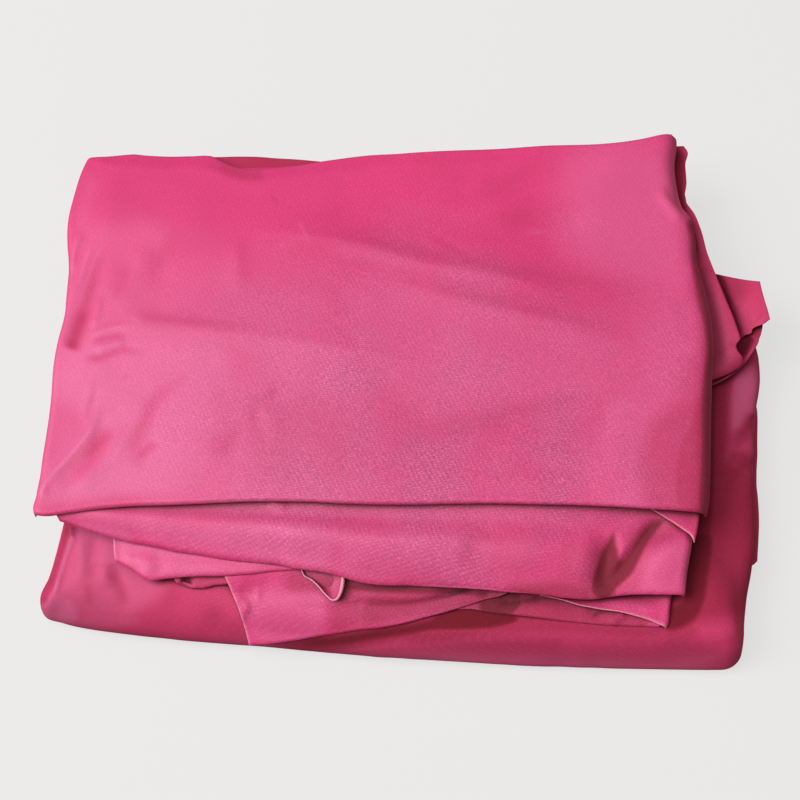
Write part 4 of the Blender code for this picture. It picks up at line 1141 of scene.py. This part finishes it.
# -------------------------------------------------------- corner at the right
corner_a, _ = ply(
    "right_corner_upper",
    edge([(712, 346, 37.5), (728, 345, 38), (739, 340, 39), (745, 335.4, 40), (751, 333.5, 41), (752.5, 329, 42), (757, 326.5, 43.4), (763, 324.3, 44.6), (770, 319.2, 45.5)]),
    edge([(770, 319.2, 45.5), (767.6, 310, 46), (764.9, 301.2, 46), (762, 291, 45.8), (759.9, 281.6, 45.2)]),
    edge([(700, 270, 41), (715.8, 274, 41.5), (736.5, 278.4, 43), (750.3, 280.6, 44.5), (759.9, 281.6, 45.2)]),
    edge([(712, 346, 37.5), (706, 310, 39.5), (700, 270, 41)]),
    pitch=0.8, thick=0.5, seed=71, crumple=((0.2, 16.0), (0.08, 6.0)), lift=0.2,
    folds=[("r", 0.6, 7, [(738, 302), (748, 312), (757, 322)], 0.3, 0.1),
           ("r", -0.6, 5, [(722, 290), (730, 310), (738, 330)], 0.3, 0.3)],
    # painted shade along its left part, next to the side ply, and at its top
    painted_shade=[(0.88, 4, [(712, 270), (724, 276), (731, 296), (737, 318), (742, 334), (734, 346), (722, 320), (712, 295)]),
          (0.35, 8, [(716, 272), (748, 280), (750, 292), (738, 300), (726, 295)])])
dress(corner_a, cloth_low_shaded)
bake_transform(corner_a)
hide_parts("side_corner", "side_fold")

corner_b, _ = ply(
    "right_corner_lower",
    edge([(704, 389, 35.5), (711.5, 386, 35.8), (724.4, 380.3, 36.2), (734.8, 373.2, 36.5), (743.4, 365.5, 36.8), (750.3, 356, 37.3), (758, 343.5, 38.2), (760, 337, 38.8)]),
    edge([(760, 337, 38.8), (761.3, 333, 39.2), (762.6, 326, 40), (762, 318, 41)]),
    edge([(712, 330, 36), (735, 326, 37), (750, 321, 39), (762, 318, 41)]),
    edge([(704, 389, 35.5), (706, 370, 36), (709, 350, 36), (712, 330, 36)]),
    pitch=0.8, thick=0.5, seed=73, crumple=((0.2, 16.0), (0.08, 6.0)), lift=0.2,
    folds=[("v", 1.0, 3.5, [(714, 386), (735, 371), (748, 354), (757, 340)], 0.2, 0.1),
           ("r", -1.8, 4, [(738, 358), (744, 346), (750, 336)], 0.3, 0.1),
           ("r", 0.8, 4, [(750, 350), (753, 342), (757, 333)], 0.3, 0.3)],
    # painted shade inside the pocket under the upper corner
    painted_shade=[(0.45, 3, [(734, 330), (750, 322), (764, 318), (763, 330), (754, 346), (742, 362), (734, 366)]),
          (0.7, 3, [(734, 336), (742, 338), (748, 345), (744, 356), (736, 364)])])
dress(corner_b, cloth_low_shaded)
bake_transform(corner_b)

# --------------------------------------------------------------- selvedge curl
RIM = [(301, 568.5, 42.5), (302.6, 572, 41.6), (304.4, 575.7, 40.8), (311.2, 579.6, 40.3), (317.3, 585, 40), (326.5, 595.3, 39.6), (332.5, 600, 39.6),
       (337, 598.8, 40.3), (340.3, 593, 41.2), (342.3, 585, 42), (343, 578.5, 42.6), (342.6, 575, 43)]
rim_line = Line([at(*q) for q in RIM])
low_end = int(0.66 * len(rim_line.p))
curl_patch, _ = ply(
    "selvedge_pocket",
    Line(rim_line.p[:low_end:3]),
    Line(rim_line.p[low_end - 1::3]),
    edge([(306, 563, 43.2), (322, 566, 43.4), (342.6, 573.5, 43.3)]),
    edge([(301, 568.5, 42.5), (303, 566, 42.8), (306, 563, 43.2)]),
    pitch=0.55, seed=81, crumple=((0.1, 8.0),),
    height=lambda u, v, x, y: -4.2 * np.sin(np.pi * np.clip(u, 0, 1)) ** 0.8 * np.sin(np.pi * np.clip(v, 0, 1)) ** 0.7,
    thick=0.4)
dress(curl_patch, cloth)
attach(curl_patch, "upper_packet")


def cord_along(name, line, radius, sides=10, n=70, swell=None):
    """A soft round edge along a line."""
    t = np.linspace(0, 1, n)
    p = line(t)
    tan = np.gradient(p, axis=0)
    tan /= np.linalg.norm(tan, axis=1, keepdims=True)
    up = np.tile(np.array([0.0, 0.0, 1.0]), (n, 1))
    a = np.cross(tan, up)
    a /= np.maximum(np.linalg.norm(a, axis=1, keepdims=True), 1e-9)
    b = np.cross(a, tan)
    r = radius * (np.ones(n) if swell is None else swell(t))
    ang = np.linspace(0, 2 * math.pi, sides, endpoint=False)
    g = p[:, None] + r[:, None, None] * (np.cos(ang)[None, :, None] * a[:, None] + np.sin(ang)[None, :, None] * b[:, None])
    pts = g.reshape(-1, 3)
    quads = grid_quads(n, sides, closed=True).tolist()
    quads.append(list(range(sides))[::-1])
    quads.append([(n - 1) * sides + k for k in range(sides)])
    mesh = bpy.data.meshes.new(name)
    mesh.from_pydata((pts * MM).tolist(), [], quads)
    mesh.validate()
    mesh.shade_smooth()
    obj = bpy.data.objects.new(name, mesh)
    bpy.context.scene.collection.objects.link(obj)
    return obj


curl_rim = cord_along("selvedge_roll", rim_line, 0.62, swell=lambda t: 0.8 + 1.1 * smooth(t, 0.55, 0.85))
dress(curl_rim, selvedge)
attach(curl_rim, "upper_packet")
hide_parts("selvedge_curl")

# ------------------------------------------------------- folds at the hinges
hinge_front = moved(edge(T_FRONT), 0, 3.2, 59.35, 0.10, 0.95)
hinge_back = Line(hinge_front.p[::8] + np.array([0, 22.0, 0]))
panel_hinge, _ = ply(
    "panel_fold_cloth",
    *loop(hinge_front, Line([hinge_front.p[-1], hinge_front.p[-1] + np.array([0, 22.0, 0])]),
          hinge_back, Line([hinge_front.p[0], hinge_front.p[0] + np.array([0, 22.0, 0])])),
    rolls={"front": (0.45, 180, 20.0, 0.3)}, pitch=1.5, crumple=((0.05, 20.0),), lift=0.45, seed=91)
dress(panel_hinge, cloth_shade)
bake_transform(panel_hinge)

back_hinge, _ = ply(
    "back_fold_cloth",
    flat_line([(-192, 118), (0, 120), (165, 124)], 35.4),
    flat_line([(165, 124), (168, 140), (168, 152)], 35.4),
    flat_line([(-190, 149), (-100, 153), (0, 156), (100, 158), (168, 152)], 35.4),
    flat_line([(-192, 118), (-194, 132), (-190, 149)], 35.4),
    rolls={"back": (0.8, 180, 30.0, 0.4)}, pitch=1.5, crumple=((0.05, 20.0),), lift=0.8, seed=93)
dress(back_hinge, cloth)
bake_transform(back_hinge)

# --------------------------------------------------------- floor, light, view
floor_mesh = bpy.data.meshes.new("floor")
floor_mesh.from_pydata([(-6, -6, 0), (6, -6, 0), (6, 6, 0), (-6, 6, 0)], [], [(0, 1, 2, 3)])
floor = bpy.data.objects.new("floor", floor_mesh)
floor.location.z = -0.0006
bpy.context.scene.collection.objects.link(floor)
paper = bpy.data.materials.new("pale_floor")
paper.use_nodes = True
paper.node_tree.nodes["Principled BSDF"].inputs["Base Color"].default_value = (0.16, 0.16, 0.16, 1)
paper.node_tree.nodes["Principled BSDF"].inputs["Emission Color"].default_value = (1.0, 1.0, 1.0, 1)
paper.node_tree.nodes["Principled BSDF"].inputs["Emission Strength"].default_value = 0.665
paper.node_tree.nodes["Principled BSDF"].inputs["Roughness"].default_value = 0.9
paper.node_tree.nodes["Principled BSDF"].inputs["Specular IOR Level"].default_value = 0.1
floor_mesh.materials.append(paper)
# the floor is lit and shaded, but sends no light back up into the folds
floor.visible_diffuse = floor.visible_glossy = floor.visible_shadow = False


def area_light(name, place, target, size, power, colour):
    data = bpy.data.lights.new(name, "AREA")
    data.shape = "RECTANGLE"
    data.size, data.size_y = size
    data.energy = power
    data.color = colour
    obj = bpy.data.objects.new(name, data)
    obj.location = place
    obj.rotation_euler = (Vector(target) - Vector(place)).to_track_quat("-Z", "Y").to_euler()
    bpy.context.scene.collection.objects.link(obj)
    return obj


area_light("window", (-2.85, -0.42, 3.10), (0, 0, 0.03), (2.4, 2.4), 143.0, (1.0, 0.99, 0.975))
area_light("ceiling", (-0.9, -0.3, 3.9), (0, 0, 0.03), (2.2, 2.2), 47.0, (1.0, 0.985, 0.97))

world = bpy.data.worlds.new("studio")
bpy.context.scene.world = world
world.use_nodes = True
world.node_tree.nodes["Background"].inputs["Color"].default_value = (1.0, 0.78, 0.68, 1)
world.node_tree.nodes["Background"].inputs["Strength"].default_value = 0.19

bpy.context.scene.view_settings.view_transform = "Standard"
bpy.context.scene.view_settings.look = "None"

camera = bpy.data.cameras.new("camera")
camera.lens = LENS
camera.sensor_width = 36.0
camera.clip_start, camera.clip_end = 0.05, 20
eye = bpy.data.objects.new("camera", camera)
eye.location = CAM * MM
eye.rotation_euler = Vector(LOOK).to_track_quat("-Z", "Y").to_euler()
bpy.context.scene.collection.objects.link(eye)
bpy.context.scene.camera = eye
